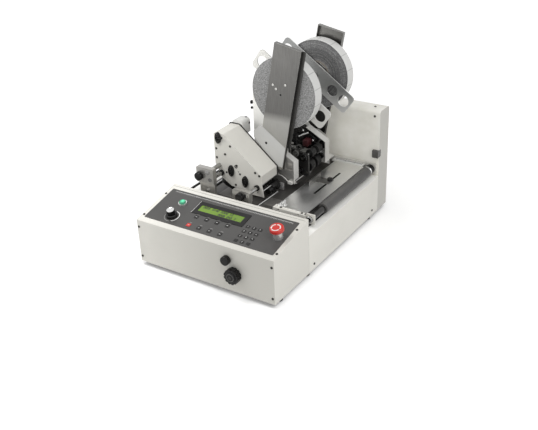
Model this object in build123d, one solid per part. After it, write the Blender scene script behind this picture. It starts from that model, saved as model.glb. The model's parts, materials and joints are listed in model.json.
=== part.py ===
from build123d import *
import os
from math import atan2, cos, degrees, hypot, radians, sin, tan

# Tabletop booklet tabbing machine, in millimetres.
# While it is being drawn, x = 0 is the middle of the width, y = 0 the front of the console
# and z = 0 the lower edge of the sheet metal. Every piece is moved to its final place on export.

# Body
body_width = 470.0
sheet = 2.0
seam = 0.3
bend = 1.2
pan_wall = 16.0
foot_height = 14.0
foot_radius = 14.0
foot_taper = 2.0
foot_round = 1.5
foot_inset = 18.0
foot_front = 45.0
foot_lead = 8.0
foot_tail = 43.0

# Fits
run_gap = 0.05
free_gap = 0.3
shaft_end = 1.5

# Console
console_depth = 182.0
console_front_height = 138.0
console_rear_height = 176.0

# Frame plates across the machine
frame_thick = 5.0
frame_gap = 4.0
frame_side_gap = 2.0
frame_ear_width = 16.0
frame_ear_rise = 8.0
transport_length = 422.0
cabinet_gap = 3.0

# Rear cabinet
cabinet_depth = 65.0
cabinet_height = 340.0
cabinet_fold = 10.0

# Side covers
side_drop = 28.0
ledge_width = 23.0
ledge_rise = 4.5
ledge_lip = 8.0
apron_lap = 10.0

# Transport deck and its roller
deck_height = 150.0
deck_thick = 4.0
deck_infeed_gap = 33.0
deck_roller_gap = 3.0
deck_belt_notch = 30.0
deck_notch_lead = 4.0
transport_radius = 12.5
transport_x = -25.0
transport_front = 72.0
transport_back = 40.0
transport_clear = 1.0
transport_slot_gap = 2.0
transport_groove = 16.0
transport_groove_depth = 2.0
transport_groove_inset = 70.0
transport_groove_count = 3
feed_shaft = 5.0

# Exit plate, heights above the deck
exit_rise = 10.0
exit_left = 97.0
exit_setback = 54.0
exit_tail = 25.0
exit_corner = 4.0
exit_flange_inset = 16.0
exit_flange_lead = 12.0
exit_flange_tail = 8.0
exit_slot_width = 5.0
exit_slot_length = 160.0
exit_slot_start = 116.0
exit_slot_left = 58.0
exit_slot_edge = 44.0
exit_bracket_lead = 12.0
exit_bracket_thick = 4.0
exit_bracket_side = 7.0
exit_bracket_flange = 10.0
exit_bracket_up = 16.0
exit_bracket_down = 15.0
exit_bracket_hole = 2.6

# Exit roller
roller_edge = 21.0
roller_radius = 16.0
roller_drop = 10.0
roller_lead = 62.0
roller_tail = 8.0
roller_core = 10.0
roller_round = 1.0
roller_shoulder = 2.0
plate_reach = 1.0
journal = 6.0
bearing_ring = 11.0
bearing_ring_thick = 4.0

# Pulleys and drive
pulley_groove = 11.0
pulley_flange = 15.0
pulley_width = 7.0
pulley_rim = 1.5
pulley_space = 2.0
pulley_stand = 1.7
belt_thick = 2.0
drive_x = 107.0
drive_z = 59.0
motor_x = -10.0
motor_radius = 35.0
motor_length = 86.0
motor_stand = 6.0
motor_shaft = 5.0
motor_chamfer = 3.0
motor_foot_inset = 8.0

# Front knobs
wheel_radius = 23.0
wheel_length = 22.0
wheel_gap = 2.0
wheel_hub_step = 7.0
wheel_hub_length = 2.5
wheel_hub_round = 1.5
wheel_lobes = 12
wheel_lobe = 3.2
small_knob_left = 23.0
small_knob_up = 41.0
small_knob_radius = 13.5
small_knob_length = 15.0
small_knob_round = 3.0
small_knob_flutes = 18
small_knob_flute = 0.9
stud = 4.0
stud_reach = 8.0

# Guide rods, heights above the deck
rod = 6.0
left_rod_x = -110.0
left_rod_rise = 59.0
right_rod_x = 16.0
right_rod_rise = 37.0
stay_x = -117.0
stay_rise = 82.0
stay_radius = 7.0
stay_length = 105.0
hold_rod_x = -124.0
hold_rod_rise = 20.0
hold_rod = 5.0
infeed_rod = 4.0
infeed_rod_edge = 8.0

# Clamp brackets on the rods
bracket_thick = 16.0
bracket_gap = 6.0
bracket_foot = 4.0
bracket_web_inset = 4.0
bracket_round = 4.0
bracket_edge = 13.0
bracket_cap = 5.0
left_bracket_drop = 14.0
middle_bracket_drop = 20.0
middle_bracket_rise = 12.0
middle_bracket_reach = 30.0
left_knob_out = 36.0
left_knob_up = 8.0
middle_knob_out = 17.0
middle_knob_down = 5.0
clamp_knob_radius = 13.0
clamp_knob_length = 12.0
clamp_knob_stand = 1.5
clamp_knob_round = 3.0
clamp_knob_flutes = 8
clamp_knob_flute = 2.2
clamp_stud_depth = 9.0

# Tab heads: distances from the plane midway between the two heads
head_frame_gap = 8.0
head_inner = 61.0
head_flange = 25.0
bar_stand = 6.0
bar_thick = 4.0
bar_length = 284.0
bar_width = 66.0
bar_corner = 12.0
bar_angle = 35.0
bar_hole = 18.0
bar_hole_in = 71.0
bar_hole_out = 117.0
bar_boss_step = 8.0
roll_stand = 6.0
roll_radius = 106.0
roll_width = 36.0
roll_bore = 38.1
roll_edge = 0.6
roll_side_gap = 1.0
spindle_x = 51.0
spindle_rise = 302.0
spindle_nose = 10.0
spindle_nose_gap = 2.0
spindle_hub_lead = 2.0
channel_width = 88.0
channel_depth = 12.0
channel_up = 145.0
rear_channel_trim = 10.0
channel_down = 233.0
channel_lean = 11.1
channel_hole = 3.5
spindle_flange_gap = 1.0
spindle_screw_ring = 36.0
spindle_screw_first = 61.0
spindle_screw_second = 132.0
spindle_screw_inner = 21.0

# Outline of the head plates, seen from the front, heights above their lower edge
head_rise = 22.0
head_right = 103.0
head_shoulder_up = 82.0
head_brow_x = 35.0
head_brow_up = 119.0
head_top_up = 223.0
head_left = -92.0
head_top_width = 37.0
head_ear = 36.0
head_ear_half = 17.0
head_ear_taper = 4.0
head_lip_up = 12.0
front_inner_right = 30.0
outer_left = -15.0
front_outer_right = 84.0
rear_outer_right = 60.0
outer_shoulder_up = 70.0
window_left = 52.0
window_width = 26.0
window_up = 42.0
window_height = 24.0
window_corner = 5.0

# Bearing arm of the front head, heights above the head plates' lower edge
arm_thick = 8.0
arm_round = 6.0
arm_left = 8.0
arm_left_up = 34.0
arm_back_up = 96.0
arm_foot_x = 44.0
arm_low_up = 6.0
arm_right = 99.0
arm_right_up = 74.0
arm_top_x = 62.0
arm_top_up = 82.0

# Shafts between the heads, heights above the plates' lower edge
cross_x = 85.0
cross_up = 66.0
fold_x = 75.0
fold_up = 23.0
cross_radius = 5.0
cross_spare = 17.0
cross_front_spare = 9.0
press_radius = 13.0
press_width = 24.0
press_place = 18.0
press_round = 1.5
fold_radius = 20.0
fold_round = 2.0

# Peel plates, heights above the head plates' lower edge
peel_left = 24.0
peel_right = 92.0
peel_edge_up = 2.0
peel_nose_up = 4.0
peel_left_up = 8.0
peel_top_up = 24.0
peel_thick = 3.0
peel_step = 4.0
peel_rod_gap = 1.0
wire_radius = 1.3
wire_stand = 5.0
wire_block_left = 66.0
wire_block_width = 14.0
wire_block_depth = 10.0
wire_block_height = 8.0
wire_block_up = 1.0

# Feeder housing, heights above its lower edge
feeder_rise = 22.0
feeder_depth = 84.0
feeder_wall = 2.5
feeder_left = -132.0
feeder_right = 32.0
feeder_height = 163.0
feeder_top_width = 35.0
feeder_slope_up = 55.0
feeder_end_up = 28.0
feeder_flank_up = 64.0
feeder_foot_right = -6.0
feeder_foot_left = -76.0
feeder_rod_margin = 16.0
feeder_tab_drop = 12.0
feeder_tab_width = 44.0
feeder_tab_lean = 6.0
feeder_crown = 6.0
feeder_hole = 2.5
feeder_channel_gap = 1.0
back_plate = 2.0
back_plate_rim = 3.0
back_plate_crown = 8.0
top_bearing_x = -115.0
top_bearing_up = 149.0
middle_bearing_x = -74.0
middle_bearing_up = 51.0
low_bearing_x = -25.0
low_bearing_up = 26.0
bearing_height = 36.0
bearing_width = 20.0
bearing_thick = 6.0
bearing_round = 1.5
feed_radius_middle = 21.0
feed_radius_low = 24.0
feed_drum_gap = 6.0
feed_drum_round = 1.5
bush_radius = 9.0
bush_wall = 2.0
bush_thick = 5.0
inner_cover_inset = 8.0
inner_cover_depth = 40.0
inner_cover_width = 38.0
inner_cover_height = 45.0
inner_cover_rise = 12.0
inner_cover_round = 10.0

# Control panel, measured across and up the slope from the console's front edge
overlay_side = 14.0
overlay_low = 19.0
overlay_top_margin = 24.0
overlay_thick = 0.8
overlay_corner = 3.0
# Room left of the knob, knob to display, display to pad, pad to stop button, right of the stop button
panel_gaps = (75.0, 26.0, 9.5, 36.5, 18.0)
# Room below the low keys, between the rows, keys to display, above the display
key_gaps = (10.4, 24.5, 4.5, 22.5)
# Room below the knob, knob to button, above the button
knob_gaps = (16.0, 28.9, 38.0)
display_width = 150.0
display_height = 25.0
display_frame = 14.0
display_depth = 9.0
display_proud = 1.4
display_corner = 2.0
glass_depth = 2.8
glass_sink = 0.8
key_size = 14.0
key_rise = 0.6
key_corner = 2.0
key_pitch = 36.0
key_columns = 4
key_lead = 22.0
pad_key_width = 13.0
pad_key_height = 11.0
pad_pitch_x = 20.0
pad_up = 44.0
pad_pitch_v = 20.5
pad_columns = 3
pad_rows = 4
speed_skirt = 17.0
speed_skirt_height = 9.0
speed_skirt_round = 3.0
speed_top = 11.0
speed_height = 22.0
speed_round = 1.5
speed_shaft_depth = 10.0
button_left = 4.0
button_radius = 10.0
button_bezel = 13.0
button_bezel_height = 6.0
button_height = 10.0
button_depth = 8.0
button_round = 1.5
stop_up = 68.0
stop_radius = 20.0
stop_height = 38.0
stop_round = 5.0
stop_collar = 14.0
stop_collar_height = 21.0
stop_stem = 9.0
stop_stem_depth = 12.0
stop_travel = 5.0
stop_clear = 1.0

# Control board under the console
board_left = -180.0
board_width = 160.0
board_front = 30.0
board_depth = 100.0
board_thick = 1.6
board_stand = 8.0
board_post = 4.0
board_post_inset = 8.0
supply_width = 90.0
supply_depth = 60.0
supply_height = 35.0
supply_inset = 12.0

# Fasteners
screw_head = 3.6
screw_height = 1.8
screw_edge = 7.0
screw_low = 18.0
screw_front_drop = 22.0
screw_panel_low = 28.0
screw_panel_high = 52.0
screw_cover_lead = 28.0
screw_cover_tail = 40.0
screw_cabinet_edge = 18.0
screw_cabinet_top = 33.0

# Corner latch and back panel
latch_width = 21.0
latch_height = 25.0
latch_depth = 20.0
latch_rise = 36.0
latch_proud = 7.0
latch_round = 2.0
latch_finger_edge = 6.0
latch_finger_depth = 2.0
inlet_inset = 85.0
inlet_z = 60.0
inlet_width = 48.0
inlet_height = 28.0
inlet_proud = 2.0
inlet_corner = 3.0
inlet_rim_x = 4.0
inlet_rim_z = 2.0
inlet_wall = 3.0
inlet_depth = 20.0
inlet_pin_pitch = 7.0
inlet_pin_width = 2.0
inlet_pin_height = 4.0
inlet_pin_sink = 2.0
rocker_width = 20.0
rocker_height = 12.0
rocker_space = 50.0
rocker_depth = 8.0
rocker_up = 1.6
rocker_low = 1.0
rocker_dip = 0.6
vent_inset = 129.0
vent_z = 170.0
vent_count = 9
vent_pitch = 14.0
vent_length = 60.0
vent_width = 4.0

# Sliding guide on the exit plate
guide_travel_share = 0.6
guide_foot_left = 38.0
guide_foot_edge = 8.0
guide_foot_front = 24.0
guide_wall_front = 60.0
guide_wall_height = 18.0
guide_pin_up = 14.0
guide_keeper = 5.0
guide_keeper_thick = 3.0
nut_radius = 8.0
nut_height = 8.0
nut_round = 1.5
nut_flutes = 14
nut_flute = 0.8

# A cut is drawn this much longer than the wall that it goes through
past = 1.0

# Places that follow from the sizes above
half_width = body_width / 2
frame_half = half_width - ledge_width - frame_side_gap
side_height = deck_height - side_drop
ledge_top = side_height + ledge_rise
front_frame_y = console_depth + frame_gap
front_frame_end = front_frame_y + frame_thick
rear_frame_y = front_frame_end + transport_length
rear_frame_end = rear_frame_y + frame_thick
cabinet_y = rear_frame_end + cabinet_gap
body_depth = cabinet_y + cabinet_depth
deck_under = deck_height - deck_thick
transport_z = deck_under - feed_shaft - transport_clear
transport_start = front_frame_y + transport_front
transport_end = rear_frame_y - transport_back
infeed_x = -frame_half + infeed_rod_edge
deck_left = infeed_x + infeed_rod + deck_infeed_gap
roller_x = half_width - roller_edge
exit_z = deck_height + exit_rise
exit_under = exit_z - sheet
roller_z = exit_z - roller_drop
exit_right = roller_x - roller_radius + plate_reach
exit_ease = (exit_right - exit_left) / (exit_slot_left + exit_slot_edge)
exit_start = console_depth + exit_setback
exit_end = rear_frame_y - exit_tail
exit_bracket_y = exit_start - exit_bracket_lead
exit_bracket_end = exit_bracket_y + exit_bracket_thick
roller_start = exit_start + roller_lead
roller_end = exit_end - roller_tail
deck_right = roller_x - roller_radius - deck_roller_gap
pulley_one = exit_end + pulley_stand
pulley_two = pulley_one + pulley_width + pulley_space
small_knob_x = drive_x - small_knob_left
small_knob_z = drive_z + small_knob_up
wheel_back = -wheel_gap
wheel_front = wheel_back - wheel_length
wheel_hub_end = wheel_front + wheel_hub_length
left_rod_z = deck_height + left_rod_rise
right_rod_z = deck_height + right_rod_rise
stay_z = deck_height + stay_rise
hold_rod_z = deck_height + hold_rod_rise
bracket_start = front_frame_end + bracket_gap
bracket_end = bracket_start + bracket_thick
left_knob_x = left_rod_x - left_knob_out
left_knob_z = left_rod_z + left_knob_up
middle_knob_x = right_rod_x - middle_knob_out
middle_knob_z = right_rod_z - middle_knob_down
head_bottom = deck_height + head_rise
head_shoulder = head_bottom + head_shoulder_up
head_brow = head_bottom + head_brow_up
head_fall = (head_brow_up - head_shoulder_up) / (head_right - head_brow_x)
outer_shoulder = head_bottom + outer_shoulder_up
head_top = head_bottom + head_top_up
cross_z = head_bottom + cross_up
fold_z = head_bottom + fold_up
spindle_z = deck_height + spindle_rise
bar_near = head_inner + sheet + bar_stand
bar_far = bar_near + bar_thick
roll_near = bar_far + roll_stand
roll_far = roll_near + roll_width
hub_near = roll_near - spindle_hub_lead
outer_near = roll_far + roll_side_gap
channel_near = outer_near + sheet
channel_far = channel_near + channel_depth
head_mid = rear_frame_y - head_frame_gap - channel_far
cross_reach = head_inner + sheet + cross_spare
back_plate_end = head_mid - channel_far - feeder_channel_gap
feeder_end = back_plate_end - back_plate
feeder_front = feeder_end - feeder_depth
feeder_bottom = deck_height + feeder_rise
feeder_top = feeder_bottom + feeder_height
feeder_slope_end = feeder_bottom + feeder_slope_up
feeder_end_low = feeder_bottom + feeder_end_up
top_bearing_z = feeder_bottom + top_bearing_up
middle_bearing_z = feeder_bottom + middle_bearing_up
low_bearing_z = feeder_bottom + low_bearing_up
latch_low = deck_height + latch_rise
inlet_x = half_width - inlet_inset
rocker_x = inlet_x + rocker_space
vent_x = -half_width + vent_inset
guide_x = exit_left + exit_slot_left * exit_ease
guide_y = exit_start + exit_slot_start + exit_slot_length * guide_travel_share
guide_pin = exit_slot_width / 2 - free_gap
slope = degrees(atan2(console_rear_height - console_front_height, console_depth))
slope_length = hypot(console_depth, console_rear_height - console_front_height)
overlay_width = body_width - 2 * overlay_side
overlay_high = slope_length - overlay_top_margin
overlay_height = overlay_high - overlay_low
display_top = overlay_thick + display_proud
display_outer = display_width + 2 * display_frame
display_tall = display_height + 2 * display_frame
pad_width = (pad_columns - 1) * pad_pitch_x + pad_key_width
panel_spare = body_width - 2 * speed_skirt - display_outer - pad_width - 2 * stop_radius
panel_ease = panel_spare / sum(panel_gaps)
key_ease = (overlay_height - 2 * key_size - display_tall) / sum(key_gaps)
knob_ease = (overlay_height - 2 * speed_skirt - 2 * button_bezel) / sum(knob_gaps)
speed_x = -half_width + panel_gaps[0] * panel_ease + speed_skirt
display_x = speed_x + speed_skirt + panel_gaps[1] * panel_ease + display_outer / 2
pad_x = display_x + display_outer / 2 + panel_gaps[2] * panel_ease + pad_width / 2
stop_x = half_width - panel_gaps[4] * panel_ease - stop_radius
button_x = speed_x - button_left
key_first_x = display_x - display_outer / 2 + key_lead + key_size / 2
key_row_low = overlay_low + key_gaps[0] * key_ease + key_size / 2
key_row_high = key_row_low + key_size + key_gaps[1] * key_ease
display_v = key_row_high + key_size / 2 + key_gaps[2] * key_ease + display_tall / 2
pad_v = overlay_low + pad_up
speed_v = overlay_low + knob_gaps[0] * knob_ease + speed_skirt
button_v = speed_v + speed_skirt + knob_gaps[1] * knob_ease + button_bezel
stop_v = overlay_low + stop_up
stop_under = stop_collar_height + stop_travel + stop_clear
panel = Plane(origin=(0, 0, console_front_height), x_dir=(1, 0, 0),
              z_dir=(0, -sin(radians(slope)), cos(radians(slope))))
depth_middle = (wheel_front + body_depth + inlet_proud) / 2
to_library = Pos(0, -depth_middle, foot_height)


# Shared shapes

def block(x0, x1, y0, y1, z0, z1):
    return Pos((x0 + x1) / 2, (y0 + y1) / 2, (z0 + z1) / 2) * Box(x1 - x0, y1 - y0, z1 - z0)


def bar_along(radius, x, z, y0, y1):
    return Pos(x, (y0 + y1) / 2, z) * Rot(90, 0, 0) * Cylinder(radius, y1 - y0)


def bore_along(radius, x, z, y0, y1):
    return bar_along(radius, x, z, y0 - past, y1 + past)


def tube_along(outer, inner, x, z, y0, y1):
    return bar_along(outer, x, z, y0, y1) - bore_along(inner, x, z, y0, y1)


def slab(points, y0, y1):
    outline = make_face(Polyline(*points, close=True))
    return Pos(0, y1, 0) * extrude(Plane.XZ * outline, y1 - y0)


def across(points, x0, x1):
    outline = make_face(Polyline(*points, close=True))
    return Pos(x0, 0, 0) * extrude(Plane.YZ * outline, x1 - x0)


def on_panel(sketch, x, v, low, high):
    return panel * Pos(x, v, low) * extrude(sketch, high - low)


def panel_hole(sketch, x, v):
    return on_panel(sketch, x, v, -display_depth, past)


def head_span(side, near, far):
    ends = sorted([head_mid + side * near, head_mid + side * far])
    return ends[0], ends[1]


def round_edges(shape):
    return shape.edges().filter_by(GeomType.CIRCLE)


def outer_edges(shape):
    return round_edges(shape).group_by(SortBy.RADIUS)[-1]


def spread(first, last, count):
    return [first + (last - first) * index / (count - 1) for index in range(count)]


def ring_places(x, z, radius, count):
    turns = [radians(360 * index / count) for index in range(count)]
    return [(x + radius * cos(turn), z + radius * sin(turn)) for turn in turns]


def screw(radius, height):
    head = Cylinder(radius, height, align=(Align.CENTER, Align.CENTER, Align.MIN))
    head = fillet(head.edges().sort_by(Axis.Z)[-1], height * 0.45)
    socket = Pos(0, 0, height * 0.4) * extrude(RegularPolygon(radius * 0.45, 6), height)
    return head - socket


facing_front = Rot(90, 0, 0)
facing_right = Rot(0, 90, 0)
facing_left = Rot(0, -90, 0)

screw_solid = screw(screw_head, screw_height)


# Base and covers

def make_base_pan():
    wide = half_width - sheet - seam
    first = sheet + seam
    last = body_depth - sheet - seam
    tray = block(-wide, wide, first, last, 0, pan_wall)
    return tray - block(-wide + sheet, wide - sheet, first + sheet, last - sheet, sheet, pan_wall + past)


def make_feet():
    rows = [foot_front, console_depth + foot_lead, cabinet_y - foot_tail]
    foot = Cone(foot_radius - foot_taper, foot_radius, foot_height,
                align=(Align.CENTER, Align.CENTER, Align.MIN))
    foot = fillet(foot.edges().sort_by(Axis.Z)[0], foot_round)
    feet = []
    for y in rows:
        for x in (-half_width + foot_inset, half_width - foot_inset):
            feet.append(Pos(x, y, -foot_height) * foot)
    return feet


def height_at(y):
    return console_front_height + tan(radians(slope)) * y


def make_console():
    outer = across([(0, 0), (console_depth, 0), (console_depth, console_rear_height),
                    (0, console_front_height)], -half_width, half_width)
    outer = fillet(outer.edges().filter_by(Axis.X).sort_by(Axis.Z)[2:], bend)
    outer = fillet(outer.edges().filter_by(Axis.Z).sort_by(Axis.Y)[:2], bend)
    rise = sheet / cos(radians(slope))
    back = console_depth - sheet
    inner = across([(sheet, -past), (back, -past), (back, height_at(back) - rise),
                    (sheet, height_at(sheet) - rise)], -half_width + sheet, half_width - sheet)
    shell = outer - inner
    shell -= block(-half_width + sheet, half_width - sheet, back - past, console_depth + past,
                   -past, pan_wall + seam)
    shell -= panel_hole(display_cutout(), display_x, display_v)
    shell -= panel_hole(Circle(stud + run_gap), speed_x, speed_v)
    shell -= panel_hole(Circle(button_radius + free_gap), button_x, button_v)
    shell -= panel_hole(Circle(stop_stem + free_gap), stop_x, stop_v)
    shell -= bore_along(journal + run_gap, drive_x, drive_z, 0, sheet)
    shell -= bore_along(journal + free_gap, drive_x, drive_z, back, console_depth)
    shell -= bore_along(stud + run_gap, small_knob_x, small_knob_z, 0, sheet)
    return shell


def make_side_cover(side):
    inner = half_width - ledge_width
    skew = ledge_rise * sheet / ledge_width
    points = [(half_width - sheet, 0), (half_width, 0), (half_width, side_height), (inner, ledge_top),
              (inner, ledge_top - ledge_lip), (inner + sheet, ledge_top - ledge_lip),
              (inner + sheet, ledge_top - sheet - skew), (half_width - sheet, side_height - sheet + skew)]
    cover = slab([(side * x, z) for x, z in points], console_depth + seam, cabinet_y - seam)
    if side > 0:
        return cover
    return cover + block(-inner, deck_left + apron_lap, front_frame_end + free_gap, rear_frame_y - free_gap,
                         ledge_top - sheet, ledge_top)


def make_cabinet():
    outer = block(-half_width, half_width, cabinet_y, body_depth, 0, cabinet_height)
    outer = fillet(outer.edges().filter_by(Axis.X).sort_by(Axis.Z)[2:], cabinet_fold)
    outer = fillet(outer.edges().filter_by(Axis.Z).sort_by(Axis.Y)[:2], bend)
    inner = block(-half_width + sheet, half_width - sheet, cabinet_y + sheet, body_depth + past,
                  -past, cabinet_height - sheet)
    inner_fold = inner.edges().filter_by(Axis.X).group_by(Axis.Y)[0].sort_by(Axis.Z)[-1]
    shell = outer - fillet(inner_fold, cabinet_fold - sheet)
    shell -= block(-half_width + sheet, half_width - sheet, cabinet_y - past, cabinet_y + sheet + past,
                   -past, pan_wall + seam)
    return shell - latch_box(seam / 2)


def latch_box(grow):
    front = cabinet_y - latch_proud
    return block(half_width - latch_width - grow, half_width + grow, front - grow, front + latch_depth + grow,
                 latch_low - grow, latch_low + latch_height + grow)


def make_latch():
    latch = latch_box(0)
    latch = fillet(latch.edges().filter_by(Axis.Y), latch_round)
    front = cabinet_y - latch_proud
    return latch - block(half_width - latch_width + latch_finger_edge, half_width - latch_finger_edge,
                         front - past, front + latch_finger_depth,
                         latch_low + latch_finger_edge, latch_low + latch_height - latch_finger_edge)


def make_back_panel():
    wide = half_width - sheet - seam
    front = body_depth - sheet
    back = block(-wide, wide, front, body_depth, pan_wall + seam, cabinet_height - cabinet_fold)
    for index in range(vent_count):
        z = vent_z + (index - (vent_count - 1) / 2) * vent_pitch
        slot = Pos(vent_x, body_depth, z) * Rot(90, 0, 0)
        back -= slot * extrude(SlotOverall(vent_length, vent_width), sheet + past, both=True)
    half_w = inlet_width / 2 - inlet_rim_x
    half_h = inlet_height / 2 - inlet_rim_z
    back -= block(inlet_x - half_w, inlet_x + half_w, front - past, body_depth + past,
                  inlet_z - half_h, inlet_z + half_h)
    half_w = rocker_width / 2 + seam
    half_h = rocker_height / 2 + seam
    back -= block(rocker_x - half_w, rocker_x + half_w, front - past, body_depth + past,
                  inlet_z - half_h, inlet_z + half_h)
    return back


def make_inlet():
    flange = block(inlet_x - inlet_width / 2, inlet_x + inlet_width / 2, body_depth, body_depth + inlet_proud,
                   inlet_z - inlet_height / 2, inlet_z + inlet_height / 2)
    flange = fillet(flange.edges().filter_by(Axis.Y), inlet_corner)
    half_w = inlet_width / 2 - inlet_rim_x - seam
    half_h = inlet_height / 2 - inlet_rim_z - seam
    well = block(inlet_x - half_w, inlet_x + half_w, body_depth - inlet_depth, body_depth,
                 inlet_z - half_h, inlet_z + half_h)
    floor = body_depth - inlet_depth + inlet_wall
    half_w -= inlet_wall
    half_h -= inlet_wall
    hollow = block(inlet_x - half_w, inlet_x + half_w, floor, body_depth + inlet_proud + past,
                   inlet_z - half_h, inlet_z + half_h)
    shell = flange + well - hollow
    for place in (-inlet_pin_pitch, 0, inlet_pin_pitch):
        left = inlet_x + place - inlet_pin_width / 2
        shell += block(left, left + inlet_pin_width, floor, body_depth - inlet_pin_sink,
                       inlet_z - inlet_pin_height / 2, inlet_z + inlet_pin_height / 2)
    return shell


def make_rocker():
    half_w = rocker_width / 2
    half_h = rocker_height / 2
    y = body_depth
    wedge = across([(y - rocker_depth, -half_h), (y + rocker_low, -half_h), (y - rocker_dip, 0),
                    (y + rocker_up, half_h), (y - rocker_depth, half_h)],
                    rocker_x - half_w, rocker_x + half_w)
    return Pos(0, 0, inlet_z) * wedge


def make_panel_screws():
    screws = []
    for side in (-1, 1):
        edge = side * (half_width - screw_edge)
        for z in (screw_low, console_front_height - screw_front_drop):
            screws.append(Pos(edge, 0, z) * facing_front * screw_solid)
        for v in (screw_panel_low, slope_length - screw_panel_high):
            screws.append(panel * Pos(edge, v, 0) * screw_solid)
        turn = facing_right if side > 0 else facing_left
        for y in (console_depth + screw_cover_lead, cabinet_y - screw_cover_tail):
            screws.append(Pos(side * half_width, y, screw_low) * turn * screw_solid)
        screws.append(Pos(side * (half_width - screw_cabinet_edge), cabinet_y,
                          cabinet_height - screw_cabinet_edge) * facing_front * screw_solid)
        screws.append(Pos(side * (half_width - screw_cabinet_top), body_depth - cabinet_depth / 2,
                          cabinet_height) * screw_solid)
    return screws


def make_control_board():
    low = sheet + board_stand
    right = board_left + board_width
    back = board_front + board_depth
    board = block(board_left, right, board_front, back, low, low + board_thick)
    for x in (board_left + board_post_inset, right - board_post_inset):
        for y in (board_front + board_post_inset, back - board_post_inset):
            post = Cylinder(board_post, board_stand, align=(Align.CENTER, Align.CENTER, Align.MIN))
            board += Pos(x, y, sheet) * post
    left = board_left + supply_inset
    front = board_front + supply_inset
    top = low + board_thick
    return board + block(left, left + supply_width, front, front + supply_depth, top, top + supply_height)


# Frame plates, deck and exit table

def make_front_frame():
    y0 = front_frame_y
    y1 = front_frame_end
    frame = block(-frame_half, frame_half, y0, y1, sheet, deck_under)
    frame += block(-frame_half, -frame_half + frame_ear_width, y0, y1, deck_under,
                   deck_height + frame_ear_rise)
    frame -= bore_along(journal + run_gap, drive_x, drive_z, y0, y1)
    frame -= bore_along(feed_shaft + run_gap, transport_x, transport_z, y0, y1)
    return frame - bore_along(infeed_rod + run_gap, infeed_x, deck_height, y0, y1)


def make_rear_frame():
    ear = roller_x + roller_radius
    ear_low = ledge_top + frame_thick
    ear_high = roller_z + exit_bracket_up
    top = left_rod_z + head_ear_half
    right = right_rod_x + head_ear
    left = left_rod_x - head_ear
    points = [(-frame_half, sheet), (frame_half, sheet), (frame_half, ear_low), (ear, ear_low),
              (ear, ear_high),
              (right, ear_high), (right, top), (left, top), (left, deck_under),
              (-frame_half + frame_ear_width, deck_under),
              (-frame_half + frame_ear_width, deck_height + frame_ear_rise),
              (-frame_half, deck_height + frame_ear_rise)]
    y0 = rear_frame_y
    y1 = rear_frame_end
    frame = slab(points, y0, y1)
    for x, z in ((left_rod_x, left_rod_z), (right_rod_x, right_rod_z)):
        frame -= bore_along(rod + run_gap, x, z, y0, y1)
    frame -= bore_along(hold_rod + run_gap, hold_rod_x, hold_rod_z, y0, y1)
    frame -= bore_along(infeed_rod + run_gap, infeed_x, deck_height, y0, y1)
    frame -= bore_along(journal + run_gap, drive_x, drive_z, y0, y1)
    frame -= bore_along(roller_core, roller_x, roller_z, y0, y1)
    return frame - bore_along(feed_shaft + run_gap, transport_x, transport_z, y0, y1)


def make_deck():
    low = deck_under - past
    high = deck_height + past
    deck = block(deck_left, deck_right, front_frame_y, rear_frame_y, deck_under, deck_height)
    deck -= block(deck_right - deck_belt_notch, deck_right + past, exit_end - deck_notch_lead,
                  rear_frame_y + past, low, high)
    half = transport_radius + transport_slot_gap
    return deck - block(transport_x - half, transport_x + half, transport_start - transport_slot_gap,
                        transport_end + transport_slot_gap, low, high)


def make_transport_roller():
    shaft = bar_along(feed_shaft, transport_x, transport_z, front_frame_y - shaft_end,
                      rear_frame_end + shaft_end)
    drum = bar_along(transport_radius, transport_x, transport_z, transport_start, transport_end)
    drum = fillet(round_edges(drum), roller_round)
    half = transport_groove / 2
    first = transport_start + transport_groove_inset
    last = transport_end - transport_groove_inset
    for y in spread(first, last, transport_groove_count):
        drum -= tube_along(transport_radius + past, transport_radius - transport_groove_depth,
                           transport_x, transport_z, y - half, y + half)
    return drum + shaft


def make_exit_plate():
    top = block(exit_left, exit_right, exit_start, exit_end, exit_under, exit_z)
    top = fillet(top.edges().filter_by(Axis.Z), exit_corner)
    for x in (exit_left, exit_right - exit_flange_inset):
        top += block(x, x + sheet, exit_start + exit_flange_lead, exit_end - exit_flange_tail,
                     deck_height, exit_under)
    slot = SlotOverall(exit_slot_length, exit_slot_width, rotation=90)
    middle = exit_start + exit_slot_start + exit_slot_length / 2
    return top - Pos(guide_x, middle, deck_height) * extrude(slot, exit_rise + past)


def make_exit_bracket():
    left = exit_left - exit_bracket_side
    ear_left = deck_right + free_gap
    ear_right = roller_x + roller_radius
    low = roller_z - exit_bracket_down
    high = roller_z + exit_bracket_up
    y0 = exit_bracket_y
    y1 = exit_bracket_end
    points = [(left, deck_height), (ear_left, deck_height), (ear_left, low), (ear_right, low),
              (ear_right, high), (exit_right + exit_corner, high), (exit_right, exit_under),
              (left, exit_under)]
    bracket = slab(points, y0, y1)
    bracket += block(left, exit_right - exit_bracket_side, y1, exit_start + exit_bracket_flange,
                     exit_under - sheet, exit_under)
    bracket -= bore_along(journal + run_gap, roller_x, roller_z, y0, y1)
    for x in (exit_left + exit_bracket_lead, exit_right - 2 * exit_bracket_lead):
        bracket -= bore_along(exit_bracket_hole, x, (deck_height + exit_under) / 2, y0, y1)
    return bracket


# Exit roller and drive

def pulley(x, z, y):
    wheel = bar_along(pulley_flange, x, z, y, y + pulley_width)
    groove = tube_along(pulley_flange + past, pulley_groove, x, z, y + pulley_rim,
                        y + pulley_width - pulley_rim)
    return wheel - groove


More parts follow.
